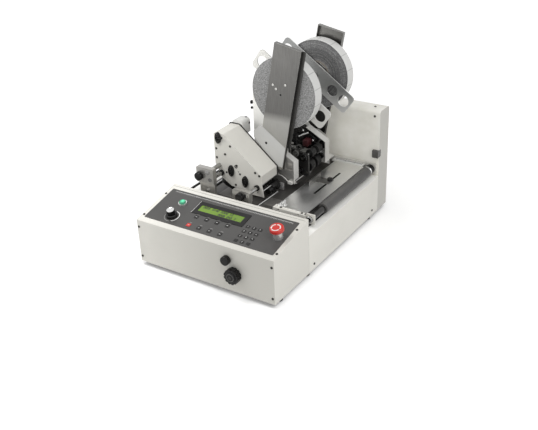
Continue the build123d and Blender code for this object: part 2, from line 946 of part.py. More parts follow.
def make_roller_shaft():
    step = exit_bracket_end + roller_shoulder
    rear = pulley_two + pulley_width
    shaft = bar_along(journal, roller_x, roller_z, exit_bracket_y - bearing_ring_thick - shaft_end, step)
    shaft += bar_along(roller_core, roller_x, roller_z, step, rear)
    shaft += bar_along(journal, roller_x, roller_z, rear, rear_frame_end + shaft_end)
    return shaft + pulley(roller_x, roller_z, pulley_one) + pulley(roller_x, roller_z, pulley_two)


def make_roller_sleeve():
    sleeve = tube_along(roller_radius, roller_core, roller_x, roller_z, roller_start, roller_end)
    return fillet(outer_edges(sleeve), roller_round)


def make_roller_bearings():
    front = tube_along(bearing_ring, journal + run_gap, roller_x, roller_z,
                       exit_bracket_y - bearing_ring_thick, exit_bracket_y)
    rear = tube_along(roller_core - run_gap, journal + run_gap, roller_x, roller_z, rear_frame_y,
                      rear_frame_end)
    return [front, rear]


def make_drive_shaft():
    shaft = bar_along(journal, drive_x, drive_z, wheel_hub_end, rear_frame_end + shaft_end)
    return shaft + pulley(drive_x, drive_z, pulley_one) + pulley(drive_x, drive_z, pulley_two)


def make_hand_wheel():
    wheel = bar_along(wheel_radius, drive_x, drive_z, wheel_hub_end, wheel_back)
    for x, z in ring_places(drive_x, drive_z, wheel_radius + wheel_lobe / 3, wheel_lobes):
        wheel -= bore_along(wheel_lobe, x, z, wheel_hub_end, wheel_back)
    hub = bar_along(wheel_radius - wheel_hub_step, drive_x, drive_z, wheel_front, wheel_hub_end)
    hub = fillet(round_edges(hub).sort_by(Axis.Y)[0], wheel_hub_round)
    return wheel + hub - bar_along(journal, drive_x, drive_z, wheel_hub_end, wheel_back + past)


def make_small_knob():
    back = -wheel_gap
    front = back - small_knob_length
    knob = bar_along(small_knob_radius, small_knob_x, small_knob_z, front, back)
    knob = fillet(round_edges(knob).sort_by(Axis.Y)[0], small_knob_round)
    for x, z in ring_places(small_knob_x, small_knob_z, small_knob_radius, small_knob_flutes):
        knob -= bar_along(small_knob_flute, x, z, front + small_knob_round, back + past)
    return knob + bar_along(stud, small_knob_x, small_knob_z, back, sheet + stud_reach)


def belt(ax, az, bx, bz, y):
    inside = pulley_groove + free_gap
    reach = hypot(bx - ax, bz - az)
    turn = degrees(atan2(bz - az, bx - ax))
    outer = SlotCenterToCenter(reach, 2 * (inside + belt_thick))
    loop = outer - SlotCenterToCenter(reach, 2 * inside)
    placed = Plane.XZ * Pos((ax + bx) / 2, (az + bz) / 2) * Rot(0, 0, turn) * loop
    width = pulley_width - 2 * pulley_rim - 2 * free_gap
    return Pos(0, y + pulley_rim + free_gap + width, 0) * extrude(placed, width)


def make_belts():
    return [belt(roller_x, roller_z, drive_x, drive_z, pulley_one),
            belt(motor_x, drive_z, drive_x, drive_z, pulley_two)]


def make_motor():
    last = pulley_one - motor_stand
    first = last - motor_length
    body = bar_along(motor_radius, motor_x, drive_z, first, last)
    body = chamfer(round_edges(body), motor_chamfer)
    body += block(motor_x - motor_radius, motor_x + motor_radius, first + motor_foot_inset,
                  last - motor_foot_inset, sheet, drive_z - motor_radius / 2)
    return body - bore_along(motor_shaft + run_gap, motor_x, drive_z, last - motor_length / 2, last)


def make_motor_pulley():
    shaft = bar_along(motor_shaft, motor_x, drive_z, pulley_one - motor_stand - motor_length / 2,
                      pulley_two + pulley_width)
    return shaft + pulley(motor_x, drive_z, pulley_two)


# Guide rods and clamps

def make_guide_rods():
    first = bracket_start - shaft_end
    last = rear_frame_end + shaft_end
    return [bar_along(rod, left_rod_x, left_rod_z, first, last),
            bar_along(rod, right_rod_x, right_rod_z, first, last),
            bar_along(stay_radius, stay_x, stay_z, first, first + stay_length),
            bar_along(hold_rod, hold_rod_x, hold_rod_z, first, last),
            bar_along(infeed_rod, infeed_x, deck_height, front_frame_y - shaft_end, last)]


def clamp_bracket(left, right, waist, top, knob_x, knob_z):
    y0 = bracket_start
    y1 = bracket_end
    web_left = left + 2 * bracket_web_inset
    bracket = block(left, right, y0, y1, waist, top)
    bracket = fillet(bracket.edges().filter_by(Axis.Y).sort_by(Axis.Z)[2:], bracket_round)
    bracket += block(web_left, right, y0 + bracket_web_inset, y1 - bracket_web_inset, deck_height, waist)
    bracket += block(web_left, right, y0, y1, deck_height, deck_height + bracket_foot)
    return bracket - bar_along(stud + run_gap, knob_x, knob_z, y0 - past, y0 + clamp_stud_depth + past)


def make_clamp_brackets():
    y0 = bracket_start
    y1 = bracket_end
    left = clamp_bracket(left_knob_x - bracket_edge, left_rod_x + bracket_edge,
                         left_rod_z - left_bracket_drop,
                         stay_z + stay_radius + bracket_cap, left_knob_x, left_knob_z)
    left -= bore_along(rod + run_gap, left_rod_x, left_rod_z, y0, y1)
    left -= bore_along(stay_radius + run_gap, stay_x, stay_z, y0, y1)
    left -= bore_along(hold_rod + run_gap, hold_rod_x, hold_rod_z, y0, y1)
    middle = clamp_bracket(middle_knob_x - middle_bracket_reach, right_rod_x + bracket_edge,
                           right_rod_z - middle_bracket_drop, right_rod_z + middle_bracket_rise,
                           middle_knob_x, middle_knob_z)
    middle -= bore_along(rod + run_gap, right_rod_x, right_rod_z, y0, y1)
    return [left, middle]


def make_clamp_knob(x, z):
    back = bracket_start - clamp_knob_stand
    front = back - clamp_knob_length
    knob = bar_along(clamp_knob_radius, x, z, front, back)
    knob = fillet(round_edges(knob).sort_by(Axis.Y)[0], clamp_knob_round)
    for flute_x, flute_z in ring_places(x, z, clamp_knob_radius + clamp_knob_flute / 4, clamp_knob_flutes):
        knob -= bore_along(clamp_knob_flute, flute_x, flute_z, front, back)
    return knob + bar_along(stud, x, z, back, bracket_start + clamp_stud_depth)


# Tab heads, side -1 in front and side 1 behind

def make_channel(side):
    y0, y1 = head_span(side, channel_near, channel_far)
    web = head_span(side, channel_far - sheet, channel_far)
    gap = head_span(side, channel_near - past, channel_far - sheet)
    half = channel_width / 2
    top = channel_up if side < 0 else channel_up - rear_channel_trim
    shape = block(-half, half, y0, y1, -channel_down, top)
    shape -= block(-half + sheet, half - sheet, gap[0], gap[1], -channel_down - past, top - sheet)
    shape -= bore_along(channel_hole, 0, 0, web[0], web[1])
    return Pos(spindle_x, 0, spindle_z) * Rot(0, channel_lean, 0) * shape


def brow_height(right, shoulder):
    return shoulder + (right - head_brow_x) * head_fall


def brow(side, near, far, right, shoulder):
    y0, y1 = head_span(side, near, far)
    high = brow_height(right, shoulder)
    run = hypot(right - head_brow_x, high - shoulder)
    down_x = sheet * (high - shoulder) / run
    down_z = sheet * (right - head_brow_x) / run
    lip = head_bottom + head_lip_up
    return slab([(head_brow_x, high), (right, shoulder), (right, lip), (right - sheet, lip),
                 (right - sheet, shoulder - down_z + down_x), (head_brow_x - down_x, high - down_z)], y0, y1)


def make_outer_plate(side):
    y0, y1 = head_span(side, outer_near, outer_near + sheet)
    right = front_outer_right if side < 0 else rear_outer_right
    high = brow_height(right, outer_shoulder)
    plate = slab([(outer_left, head_bottom), (right, head_bottom), (right, outer_shoulder),
                  (head_brow_x, high), (outer_left, high)], y0, y1)
    if side < 0:
        plate += brow(side, outer_near + sheet - head_flange, outer_near, right, outer_shoulder)
        hole = RectangleRounded(window_width, window_height, window_corner)
        middle = Pos(window_left + window_width / 2, head_bottom + window_up + window_height / 2)
        plate -= Pos(0, y1, 0) * extrude(Plane.XZ * middle * hole, sheet + past, both=True)
    return plate - bore_along(rod + run_gap, right_rod_x, right_rod_z, y0, y1)


def make_inner_plate(side):
    y0, y1 = head_span(side, head_inner, head_inner + sheet)
    ear = head_left - head_ear
    top_right = head_left + head_top_width
    if side < 0:
        lean = (head_top - head_brow) / (head_brow_x - top_right)
        edge = [(front_inner_right, head_bottom),
                (front_inner_right, head_brow + (head_brow_x - front_inner_right) * lean)]
    else:
        edge = [(head_right, head_bottom), (head_right, head_shoulder), (head_brow_x, head_brow)]
    plate = slab([(head_left, head_bottom)] + edge +
                 [(top_right, head_top), (head_left, head_top),
                  (head_left, left_rod_z + head_ear_half + head_ear_taper), (ear, left_rod_z + head_ear_half),
                  (ear, left_rod_z - head_ear_half),
                  (head_left, left_rod_z - head_ear_half - head_ear_taper)], y0, y1)
    for x, z in ((left_rod_x, left_rod_z), (right_rod_x, right_rod_z)):
        plate -= bore_along(rod + run_gap, x, z, y0, y1)
    if side < 0:
        return plate
    plate += brow(side, head_inner + sheet - head_flange, head_inner, head_right, head_shoulder)
    return shaft_bores(plate, y0, y1)


def shaft_bores(plate, y0, y1):
    for x, z in ((cross_x, cross_z), (fold_x, fold_z)):
        plate -= bore_along(cross_radius + run_gap, x, z, y0, y1)
    return plate


def make_bearing_arm():
    y0, y1 = head_span(-1, head_inner - arm_thick, head_inner)
    arm = slab([(arm_left, head_bottom + arm_left_up), (arm_foot_x, head_bottom + arm_low_up),
                (arm_right, head_bottom + arm_low_up), (arm_right, head_bottom + arm_right_up),
                (arm_top_x, head_bottom + arm_top_up), (arm_left, head_bottom + arm_back_up)], y0, y1)
    arm = fillet(arm.edges().filter_by(Axis.Y), arm_round)
    return shaft_bores(arm, y0, y1)


def make_head_plates(side):
    plates = [make_outer_plate(side), make_inner_plate(side)] + make_peel_plate(side)
    if side < 0:
        plates.append(make_bearing_arm())
    return plates


def make_spindle(side):
    flange = head_span(side, outer_near, channel_far - sheet)
    hub = head_span(side, hub_near, outer_near)
    nose = head_span(side, head_inner + sheet + spindle_nose_gap, hub_near)
    spindle = bar_along(channel_width / 2 - sheet - spindle_flange_gap, spindle_x, spindle_z,
                        flange[0], flange[1])
    spindle += bar_along(roll_bore - run_gap, spindle_x, spindle_z, hub[0], hub[1])
    return spindle + bar_along(spindle_nose, spindle_x, spindle_z, nose[0], nose[1])


def make_roll(side):
    y0, y1 = head_span(side, roll_near, roll_far)
    roll = tube_along(roll_radius, roll_bore, spindle_x, spindle_z, y0, y1)
    return chamfer(outer_edges(roll), roll_edge)


def make_bar(side):
    y0, y1 = head_span(side, bar_near, bar_far)
    outline = RectangleRounded(bar_length, bar_width, bar_corner)
    for place in (-bar_hole_out, -bar_hole_in, bar_hole_in, bar_hole_out):
        outline -= Pos(place, 0) * Circle(bar_hole)
    placed = Plane.XZ * Pos(spindle_x, spindle_z) * Rot(0, 0, -bar_angle) * outline
    strip = Pos(0, y1, 0) * extrude(placed, bar_thick)
    boss = head_span(side, bar_far, hub_near - free_gap)
    strip += bar_along(roll_bore - bar_boss_step, spindle_x, spindle_z, boss[0], boss[1])
    return strip - bore_along(spindle_nose + run_gap, spindle_x, spindle_z, min(y0, boss[0]),
                              max(y1, boss[1]))


def make_peel_plate(side):
    y0, y1 = head_span(side, head_inner + sheet, outer_near)
    edge = head_bottom + peel_edge_up
    top = head_bottom + peel_top_up
    blade = slab([(peel_left, head_bottom + peel_left_up), (peel_right - peel_step, edge),
                  (peel_right, head_bottom + peel_nose_up), (peel_right - peel_step, edge + peel_thick),
                  (peel_left + 2 * peel_thick, top), (peel_left + peel_thick, top)], y0, y1)
    blade -= bore_along(rod + peel_rod_gap, right_rod_x, right_rod_z, y0, y1)
    if side > 0:
        return [blade]
    face = head_mid - outer_near - sheet
    low = head_bottom + wire_block_up
    high = low + wire_block_height
    end_block = block(wire_block_left, wire_block_left + wire_block_width, face - wire_block_depth, face,
                      low, high)
    middle_z = (low + high) / 2
    wire = Spline((peel_left, face - wire_stand, top), (wire_block_left, face - wire_stand, middle_z),
                  tangents=((1, 0, 0), (1, 0, -1)))
    start = Plane(origin=wire @ 0, z_dir=wire % 0)
    hook = bar_along(wire_radius, peel_left, top, face - wire_stand, face)
    return [blade, end_block + sweep(start * Circle(wire_radius), wire) + hook]


def make_cross_shaft():
    front = head_mid - head_inner - sheet - cross_front_spare
    return bar_along(cross_radius, cross_x, cross_z, front, head_mid + cross_reach)


def press_span(side):
    middle = head_mid + side * press_place
    return middle - press_width / 2, middle + press_width / 2


def make_press_rollers():
    rollers = []
    for side in (-1, 1):
        y0, y1 = press_span(side)
        ring = tube_along(press_radius, cross_radius, cross_x, cross_z, y0, y1)
        rollers.append(fillet(outer_edges(ring), press_round))
    return rollers


def make_fold_roller():
    shaft = bar_along(cross_radius, fold_x, fold_z, head_mid - cross_reach, head_mid + cross_reach)
    for side in (-1, 1):
        y0, y1 = press_span(side)
        wheel = bar_along(fold_radius, fold_x, fold_z, y0, y1)
        shaft += fillet(round_edges(wheel), fold_round)
    return shaft


# Feeder housing

def feeder_outline(rim):
    top_right = feeder_left + feeder_top_width
    return [(feeder_left - rim, feeder_top + rim), (top_right + rim / 2, feeder_top + rim),
            (feeder_right + rim, feeder_slope_end + rim / 2), (feeder_right + rim, feeder_end_low),
            (feeder_foot_right, feeder_bottom), (feeder_foot_left, feeder_bottom),
            (left_rod_x, left_rod_z - feeder_rod_margin),
            (feeder_left - rim, feeder_bottom + feeder_flank_up)]


def make_feeder_housing():
    outer = slab(feeder_outline(0), feeder_front, feeder_end)
    outer = fillet(outer.edges().filter_by(Axis.Y).sort_by(Axis.Z)[-2:], feeder_crown)
    wall = feeder_wall
    front = feeder_front
    inside = front + wall
    top_right = feeder_left + feeder_top_width - wall / 2
    low = feeder_bottom - past
    shell = outer - slab([(feeder_left + wall, feeder_top - wall), (top_right, feeder_top - wall),
                          (feeder_right - wall, feeder_slope_end - wall / 2), (feeder_right - wall, low),
                          (feeder_left + wall, low)], inside, feeder_end + past)
    tab_right = feeder_right + feeder_tab_lean
    tab_low = feeder_bottom - feeder_tab_drop
    shell += slab([(feeder_right, feeder_end_low), (tab_right, tab_low),
                   (tab_right - feeder_tab_width, tab_low), (feeder_foot_right, feeder_bottom)],
                  front, inside)
    for x, z in feeder_bearing_places():
        shell -= bore_along(feed_shaft + free_gap, x, z, front, inside)
    for x, z in ((left_rod_x, left_rod_z), (right_rod_x, right_rod_z)):
        shell -= bore_along(rod + bush_wall, x, z, front, inside)
    shell -= bore_along(stay_radius + free_gap, stay_x, stay_z, front, inside)
    shell -= bore_along(feeder_hole, (middle_bearing_x + low_bearing_x) / 2, middle_bearing_z, front, inside)
    return shell - bore_along(feeder_hole, tab_right - feeder_tab_width / 2, feeder_bottom, front, inside)


def feeder_bearing_places():
    return [(top_bearing_x, top_bearing_z), (middle_bearing_x, middle_bearing_z),
            (low_bearing_x, low_bearing_z)]


def make_back_plate():
    black = slab(feeder_outline(back_plate_rim), feeder_end, back_plate_end)
    black = fillet(black.edges().filter_by(Axis.Y).sort_by(Axis.Z)[-2:], back_plate_crown)
    for x, z in feeder_bearing_places()[1:]:
        black -= bore_along(feed_shaft + run_gap, x, z, feeder_end, back_plate_end)
    for x, z in ((left_rod_x, left_rod_z), (right_rod_x, right_rod_z)):
        black -= bore_along(rod + run_gap, x, z, feeder_end, back_plate_end)
    return black


def make_inner_cover():
    left = feeder_left + inner_cover_inset
    right = left + inner_cover_width
    top = feeder_top + inner_cover_rise
    low = top - inner_cover_height
    back = back_plate_end + inner_cover_depth
    cover = block(left, right, back_plate_end, back, low, top)
    cover = fillet(cover.edges().filter_by(Axis.Y).sort_by(Axis.Z)[2:], inner_cover_round)
    return cover - block(left + sheet, right - sheet, back_plate_end - past, back - sheet,
                         low - past, top - inner_cover_round - sheet)


def make_feeder_bearings():
    pieces = []
    front = feeder_front - bearing_thick
    for x, z in feeder_bearing_places():
        flange = Plane.XZ * Pos(x, z) * Ellipse(bearing_width / 2, bearing_height / 2)
        body = Pos(0, feeder_front, 0) * extrude(flange, bearing_thick)
        body = fillet(body.edges().group_by(Axis.Y)[0], bearing_round)
        pieces.append(body - bore_along(feed_shaft + run_gap, x, z, front, feeder_front))
    for x, z in ((left_rod_x, left_rod_z), (right_rod_x, right_rod_z)):
        ring = tube_along(bush_radius, rod + run_gap, x, z, feeder_front - bush_thick, feeder_front)
        sleeve = tube_along(rod + bush_wall - run_gap, rod + run_gap, x, z, feeder_front,
                            feeder_front + feeder_wall + bush_wall)
        pieces.append(ring + sleeve)
    return pieces


def make_feed_roller(x, z, radius):
    shaft = bar_along(feed_shaft, x, z, feeder_front - bearing_thick, back_plate_end)
    drum = bar_along(radius, x, z, feeder_front + feeder_wall + feed_drum_gap, feeder_end - feed_drum_gap)
    return shaft + fillet(round_edges(drum), feed_drum_round)


def make_carriage_screws():
    edge = feeder_left + screw_edge
    flank = feeder_bottom + feeder_flank_up
    places = [(edge, flank + bearing_width), (edge, top_bearing_z - bearing_height),
              (middle_bearing_x, top_bearing_z - bearing_width),
              (middle_bearing_x - bearing_width, flank + bearing_height),
              (middle_bearing_x + bearing_width, middle_bearing_z + bearing_width),
              (low_bearing_x - bearing_height, feeder_bottom + screw_edge),
              (feeder_right - screw_edge, feeder_slope_end),
              (feeder_right - 3 * screw_edge, feeder_slope_end + screw_edge)]
    screws = [Pos(x, feeder_front, z) * facing_front * screw_solid for x, z in places]
    face = head_mid - channel_far
    for ring, turn in ((spindle_screw_ring, spindle_screw_first), (spindle_screw_ring, spindle_screw_second),
                       (spindle_screw_inner, spindle_screw_second)):
        x = spindle_x + ring * cos(radians(turn))
        z = spindle_z + ring * sin(radians(turn))
        screws.append(Pos(x, face, z) * facing_front * screw_solid)
    return screws


# Control panel

def display_cutout():
    return Rectangle(display_outer + 2 * seam, display_tall + 2 * seam)


def make_overlay():
    middle = (overlay_high + overlay_low) / 2
    film_face = RectangleRounded(overlay_width, overlay_high - overlay_low, overlay_corner)
    film_face -= Pos(display_x, display_v - middle) * display_cutout()
    for x, v, radius in ((speed_x, speed_v, stud), (button_x, button_v, button_bezel),
                         (stop_x, stop_v, stop_collar)):
        film_face -= Pos(x, v - middle) * Circle(radius + free_gap)
    film = on_panel(film_face, 0, middle, 0, overlay_thick)
    key = RectangleRounded(key_size, key_size, key_corner)
    top = overlay_thick + key_rise
    for v in (key_row_low, key_row_high):
        for column in range(key_columns):
            film += on_panel(key, key_first_x + column * key_pitch, v, overlay_thick, top)
    pad = RectangleRounded(pad_key_width, pad_key_height, key_corner)
    for row in range(pad_rows):
        v = pad_v + (row - (pad_rows - 1) / 2) * pad_pitch_v
        for column in range(pad_columns):
            x = pad_x + (column - (pad_columns - 1) / 2) * pad_pitch_x
            film += on_panel(pad, x, v, overlay_thick, top)
    return film


def make_display():
    outline = RectangleRounded(display_outer, display_tall, display_corner)
    frame = on_panel(outline, display_x, display_v, -display_depth, display_top)
    window = Rectangle(display_width, display_height)
    return frame - on_panel(window, display_x, display_v, display_top - glass_sink - glass_depth,
                            display_top + past)


def make_display_glass():
    high = display_top - glass_sink
    return on_panel(Rectangle(display_width, display_height), display_x, display_v, high - glass_depth, high)


def make_collars():
    bezel = Circle(button_bezel) - Circle(button_radius + free_gap)
    collar = Circle(stop_collar) - Circle(stop_stem + free_gap)
    return [on_panel(bezel, button_x, button_v, 0, button_bezel_height),
            on_panel(collar, stop_x, stop_v, 0, stop_collar_height)]


def make_button():
    lens = on_panel(Circle(button_radius), button_x, button_v, -button_depth, button_height)
    return fillet(round_edges(lens).sort_by(Axis.Z)[-1], button_round)


def make_stop_head():
    cap = on_panel(Circle(stop_radius), stop_x, stop_v, stop_under, stop_height)
    cap = fillet(round_edges(cap).sort_by(Axis.Z)[-1], stop_round)
    return cap + on_panel(Circle(stop_stem), stop_x, stop_v, -stop_stem_depth, stop_under)


def make_speed_knob():
    low = overlay_thick + free_gap
    high = low + speed_skirt_height
    skirt = on_panel(Circle(speed_skirt), speed_x, speed_v, low, high)
    skirt = fillet(round_edges(skirt).sort_by(Axis.Z)[-1], speed_skirt_round)
    top = on_panel(Circle(speed_top), speed_x, speed_v, high, low + speed_height)
    top = fillet(round_edges(top).sort_by(Axis.Z)[-1], speed_round)
    return skirt + top + on_panel(Circle(stud), speed_x, speed_v, -speed_shaft_depth, low)


# Sliding guide on the exit plate

def make_slot_guide():
    low = exit_z + free_gap
    left = guide_x - guide_foot_left * exit_ease
    back = guide_y + guide_foot_edge
    guide = block(left, guide_x + guide_foot_edge, guide_y - guide_foot_front, back, low, low + sheet)
    guide += block(left, left + sheet, guide_y - guide_wall_front, back, low, low + guide_wall_height)
    upright = (Align.CENTER, Align.CENTER, Align.MIN)
    keeper_low = exit_under - free_gap - guide_keeper_thick
    guide += Pos(guide_x, guide_y, keeper_low) * Cylinder(guide_keeper, guide_keeper_thick, align=upright)
    pin_length = exit_z + guide_pin_up - keeper_low
    return guide + Pos(guide_x, guide_y, keeper_low) * Cylinder(guide_pin, pin_length, align=upright)


def make_thumb_nut():
    low = exit_z + sheet + 2 * free_gap
    upright = (Align.CENTER, Align.CENTER, Align.MIN)
    nut = Pos(guide_x, guide_y, low) * Cylinder(nut_radius, nut_height, align=upright)
    nut = fillet(round_edges(nut).sort_by(Axis.Z)[-1], nut_round)
    long = nut_height + 2 * past
    for x, y in ring_places(guide_x, guide_y, nut_radius, nut_flutes):
        nut -= Pos(x, y, low - past) * Cylinder(nut_flute, long, align=upright)
    return nut - Pos(guide_x, guide_y, low - past) * Cylinder(guide_pin + run_gap, long, align=upright)


# Export

def save(name, shape):
    solids = shape if isinstance(shape, list) else [shape]
    moved = [to_library * solid for solid in solids]
    whole = moved[0] if len(moved) == 1 else Compound(children=moved)
    export_step(whole, "parts/" + name + ".step")


os.makedirs("parts", exist_ok=True)

save("base_pan", make_base_pan())
save("rubber_feet", make_feet())
save("console_housing", make_console())
save("right_side_cover", make_side_cover(1))
save("left_side_cover", make_side_cover(-1))
save("rear_cabinet", make_cabinet())
save("corner_latch", make_latch())
save("cabinet_back_panel", make_back_panel())
save("power_inlet", make_inlet())
save("power_rocker", make_rocker())
save("panel_screws", make_panel_screws())
save("control_board", make_control_board())
save("front_frame_plate", make_front_frame())
save("rear_frame_plate", make_rear_frame())
save("transport_deck", make_deck())
save("transport_roller", make_transport_roller())
save("exit_plate", make_exit_plate())
save("exit_plate_bracket", make_exit_bracket())
save("exit_roller_shaft", make_roller_shaft())
save("exit_roller", make_roller_sleeve())
save("roller_bearings", make_roller_bearings())
save("drive_shaft", make_drive_shaft())
save("hand_wheel", make_hand_wheel())
save("tension_knob", make_small_knob())
save("drive_belts", make_belts())
save("drive_motor", make_motor())
save("motor_pulley", make_motor_pulley())
save("guide_rods", make_guide_rods())
save("clamp_brackets", make_clamp_brackets())
save("left_clamp_knob", make_clamp_knob(left_knob_x, left_knob_z))
save("middle_clamp_knob", make_clamp_knob(middle_knob_x, middle_knob_z))
for head, side in (("front", -1), ("rear", 1)):
    save(head + "_channel", make_channel(side))
    save(head + "_head_plates", make_head_plates(side))
    save(head + "_spindle", make_spindle(side))
    save(head + "_tab_roll", make_roll(side))
    save(head + "_retaining_bar", make_bar(side))
save("cross_shaft", make_cross_shaft())
save("press_rollers", make_press_rollers())
save("fold_roller", make_fold_roller())
save("feeder_housing", make_feeder_housing())
save("feeder_back_plate", make_back_plate())
save("feeder_inner_cover", make_inner_cover())
save("feeder_bearings", make_feeder_bearings())
save("feed_roller_middle", make_feed_roller(middle_bearing_x, middle_bearing_z, feed_radius_middle))
save("feed_roller_low", make_feed_roller(low_bearing_x, low_bearing_z, feed_radius_low))
save("carriage_screws", make_carriage_screws())
save("control_overlay", make_overlay())
save("display_unit", make_display())
save("display_glass", make_display_glass())
save("panel_collars", make_collars())
save("start_button", make_button())
save("estop_head", make_stop_head())
save("speed_knob", make_speed_knob())
save("slot_guide", make_slot_guide())
save("slot_thumb_nut", make_thumb_nut())
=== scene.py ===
import json
import math

import bmesh
import bpy
from mathutils import Matrix, Vector


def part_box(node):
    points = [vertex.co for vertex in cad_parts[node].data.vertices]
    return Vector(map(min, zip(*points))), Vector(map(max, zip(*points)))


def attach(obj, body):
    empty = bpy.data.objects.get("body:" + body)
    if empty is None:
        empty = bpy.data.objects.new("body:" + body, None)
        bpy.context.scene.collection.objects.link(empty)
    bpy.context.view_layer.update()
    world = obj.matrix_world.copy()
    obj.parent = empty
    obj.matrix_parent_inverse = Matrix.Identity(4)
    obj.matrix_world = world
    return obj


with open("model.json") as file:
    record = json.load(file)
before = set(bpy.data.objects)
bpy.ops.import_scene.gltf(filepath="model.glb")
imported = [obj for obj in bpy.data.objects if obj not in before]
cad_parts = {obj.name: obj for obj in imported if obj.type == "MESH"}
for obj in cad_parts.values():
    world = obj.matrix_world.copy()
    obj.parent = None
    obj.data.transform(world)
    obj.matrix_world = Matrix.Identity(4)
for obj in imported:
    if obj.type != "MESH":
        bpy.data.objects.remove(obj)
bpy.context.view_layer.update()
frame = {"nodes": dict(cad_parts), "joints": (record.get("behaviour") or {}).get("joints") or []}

scene = bpy.context.scene
scene.view_settings.view_transform = "Standard"
joints = {joint["name"]: joint for joint in frame["joints"]}
mm = 0.001               # shapes are given in millimetres, places in metres


def setAll(block, **settings):
    for key, value in settings.items():
        setattr(block, key, value)
    return block


def addObject(name, data):
    made = bpy.data.objects.new(name, data)
    scene.collection.objects.link(made)
    return made


# Node helpers

def srgb(levels):
    shares = [level / 255 for level in levels]
    return (*[s / 12.92 if s <= 0.04045 else ((s + 0.055) / 1.055) ** 2.4 for s in shares], 1.0)


def put(tree, kind, inputs=None, **settings):
    node = setAll(tree.nodes.new(kind), **settings)
    for key, value in (inputs or {}).items():
        if isinstance(value, bpy.types.NodeSocket):
            tree.links.new(value, node.inputs[key])
        else:
            node.inputs[key].default_value = value
    return node


def maths(tree, operation, *values):
    return put(tree, "ShaderNodeMath", dict(enumerate(values)), operation=operation).outputs[0]


def vectors(tree, operation, *values):
    node = put(tree, "ShaderNodeVectorMath", dict(enumerate(values)), operation=operation)
    return node.outputs["Value" if operation in ("LENGTH", "DOT_PRODUCT") else "Vector"]


def coordinates(tree, space="Object"):
    return put(tree, "ShaderNodeTexCoord").outputs[space]


def axisOf(tree, socket, axis):
    return put(tree, "ShaderNodeSeparateXYZ", {0: socket}).outputs[axis]


def spreadOut(tree, socket, low, high):
    return put(tree, "ShaderNodeMapRange", {"Value": socket, "From Min": low, "From Max": high}).outputs[0]


def noise(tree, **values):
    inputs = {label.title(): value for label, value in values.items()}
    return put(tree, "ShaderNodeTexNoise", inputs).outputs[0]


def blendValue(tree, factor, first, second):
    return put(tree, "ShaderNodeMix", {0: factor, 2: first, 3: second}, data_type="FLOAT").outputs[0]


def blendColour(tree, factor, first, second):
    ends = [end if isinstance(end, bpy.types.NodeSocket) else srgb(end) for end in (first, second)]
    return put(tree, "ShaderNodeMix", {0: factor, 6: ends[0], 7: ends[1]}, data_type="RGBA").outputs[2]


# Camera, floor and light

cameraView = {
    "place": (1.2012, -1.7875, 1.2307),
    "azimuth": 33.81,
    "elevation": 28.31,
    "roll": -2.30,
    "lens": 52.77,
    "sensor": 36.0,
    "farEnd": 60.0,
}


def addCamera(view):
    data = setAll(bpy.data.cameras.new("photoCamera"), sensor_fit="HORIZONTAL", sensor_width=view["sensor"],
                  lens=view["lens"], clip_end=view["farEnd"])
    camera = addObject("photoCamera", data)
    camera.matrix_world = Matrix.Translation(view["place"])
    for angle, axis in ((view["azimuth"], "Z"), (90 - view["elevation"], "X"), (view["roll"], "Z")):
        camera.matrix_world = camera.matrix_world @ Matrix.Rotation(math.radians(angle), 4, axis)
    scene.camera = camera


studio = {
    "floorSize": 30.0,
    "floorDrop": 0.0002,
    "floorColour": (240, 240, 238),
    "seenLevel": (1.16, 1.45),    # the floor as the camera sees it, near the machine and far off, white but for the contact shadow; dimmer near the machine: a painted shadow round it that widens the contact shadow
    "seenReach": (0.45, 0.8),     # white but for the contact shadow
    "glowLevel": 0.03,
    "mirrorLevel": 0.96,          # and as it shows in reflections
    "skyLevel": 0.57,
    "sunFrom": (0.35, -0.1, 0.93),
    "sunLevel": 0.55,
    "sunSpread": 40.0,
    # place, aim, size and level of the soft boxes
    "boxes": (((0.8, -0.4, 0.7), (0.15, 0.1, 0.15), 0.5, 2.1),
              ((-0.3, -0.36, 0.8), (0.1, 0.28, 0.22), 0.4, 2.9),
              ((-0.38, -0.56, 0.36), (-0.2, -0.33, 0.1), 0.25, 0.24)),
}


def seenBy(tree):
    # rays from the camera, and rays by way of a reflection or a clear piece
    path = tree.nodes.new("ShaderNodeLightPath").outputs
    return path["Is Camera Ray"], maths(tree, "MAXIMUM", path["Is Glossy Ray"], path["Is Transmission Ray"])


def whiteGlow(tree, kind, strength):
    return put(tree, kind, {"Color": (1, 1, 1, 1), "Strength": strength}).outputs[0]


def emptyTree(block):
    block.use_nodes = True
    block.node_tree.nodes.clear()
    return block.node_tree


def addFloor(values):
    low, half = -values["floorDrop"], values["floorSize"] / 2
    mesh = bpy.data.meshes.new("floor")
    mesh.from_pydata([(-half, -half, low), (half, -half, low), (half, half, low), (-half, half, low)], [],
                     [(0, 1, 2, 3)])
    floor = addObject("floor", mesh)
    mat = bpy.data.materials.new("paleFloor")
    tree = emptyTree(mat)
    matte = put(tree, "ShaderNodeBsdfDiffuse", {"Color": srgb(values["floorColour"])}).outputs[0]
    # dimmer near the machine: painted shadow round it
    away = spreadOut(tree, vectors(tree, "LENGTH", coordinates(tree)), *values["seenReach"])
    bright = put(tree, "ShaderNodeBsdfDiffuse", {"Color": blendValue(tree, away, *values["seenLevel"])})
    glow = whiteGlow(tree, "ShaderNodeEmission", values["glowLevel"])
    seen = put(tree, "ShaderNodeAddShader", {0: bright.outputs[0], 1: glow})
    white = whiteGlow(tree, "ShaderNodeEmission", values["mirrorLevel"])
    camera, mirrored = seenBy(tree)
    inMirror = put(tree, "ShaderNodeMixShader", {0: mirrored, 1: matte, 2: white})
    mixed = put(tree, "ShaderNodeMixShader", {0: camera, 1: inMirror.outputs[0], 2: seen.outputs[0]})
    put(tree, "ShaderNodeOutputMaterial", {"Surface": mixed.outputs[0]})
    mesh.materials.append(mat)


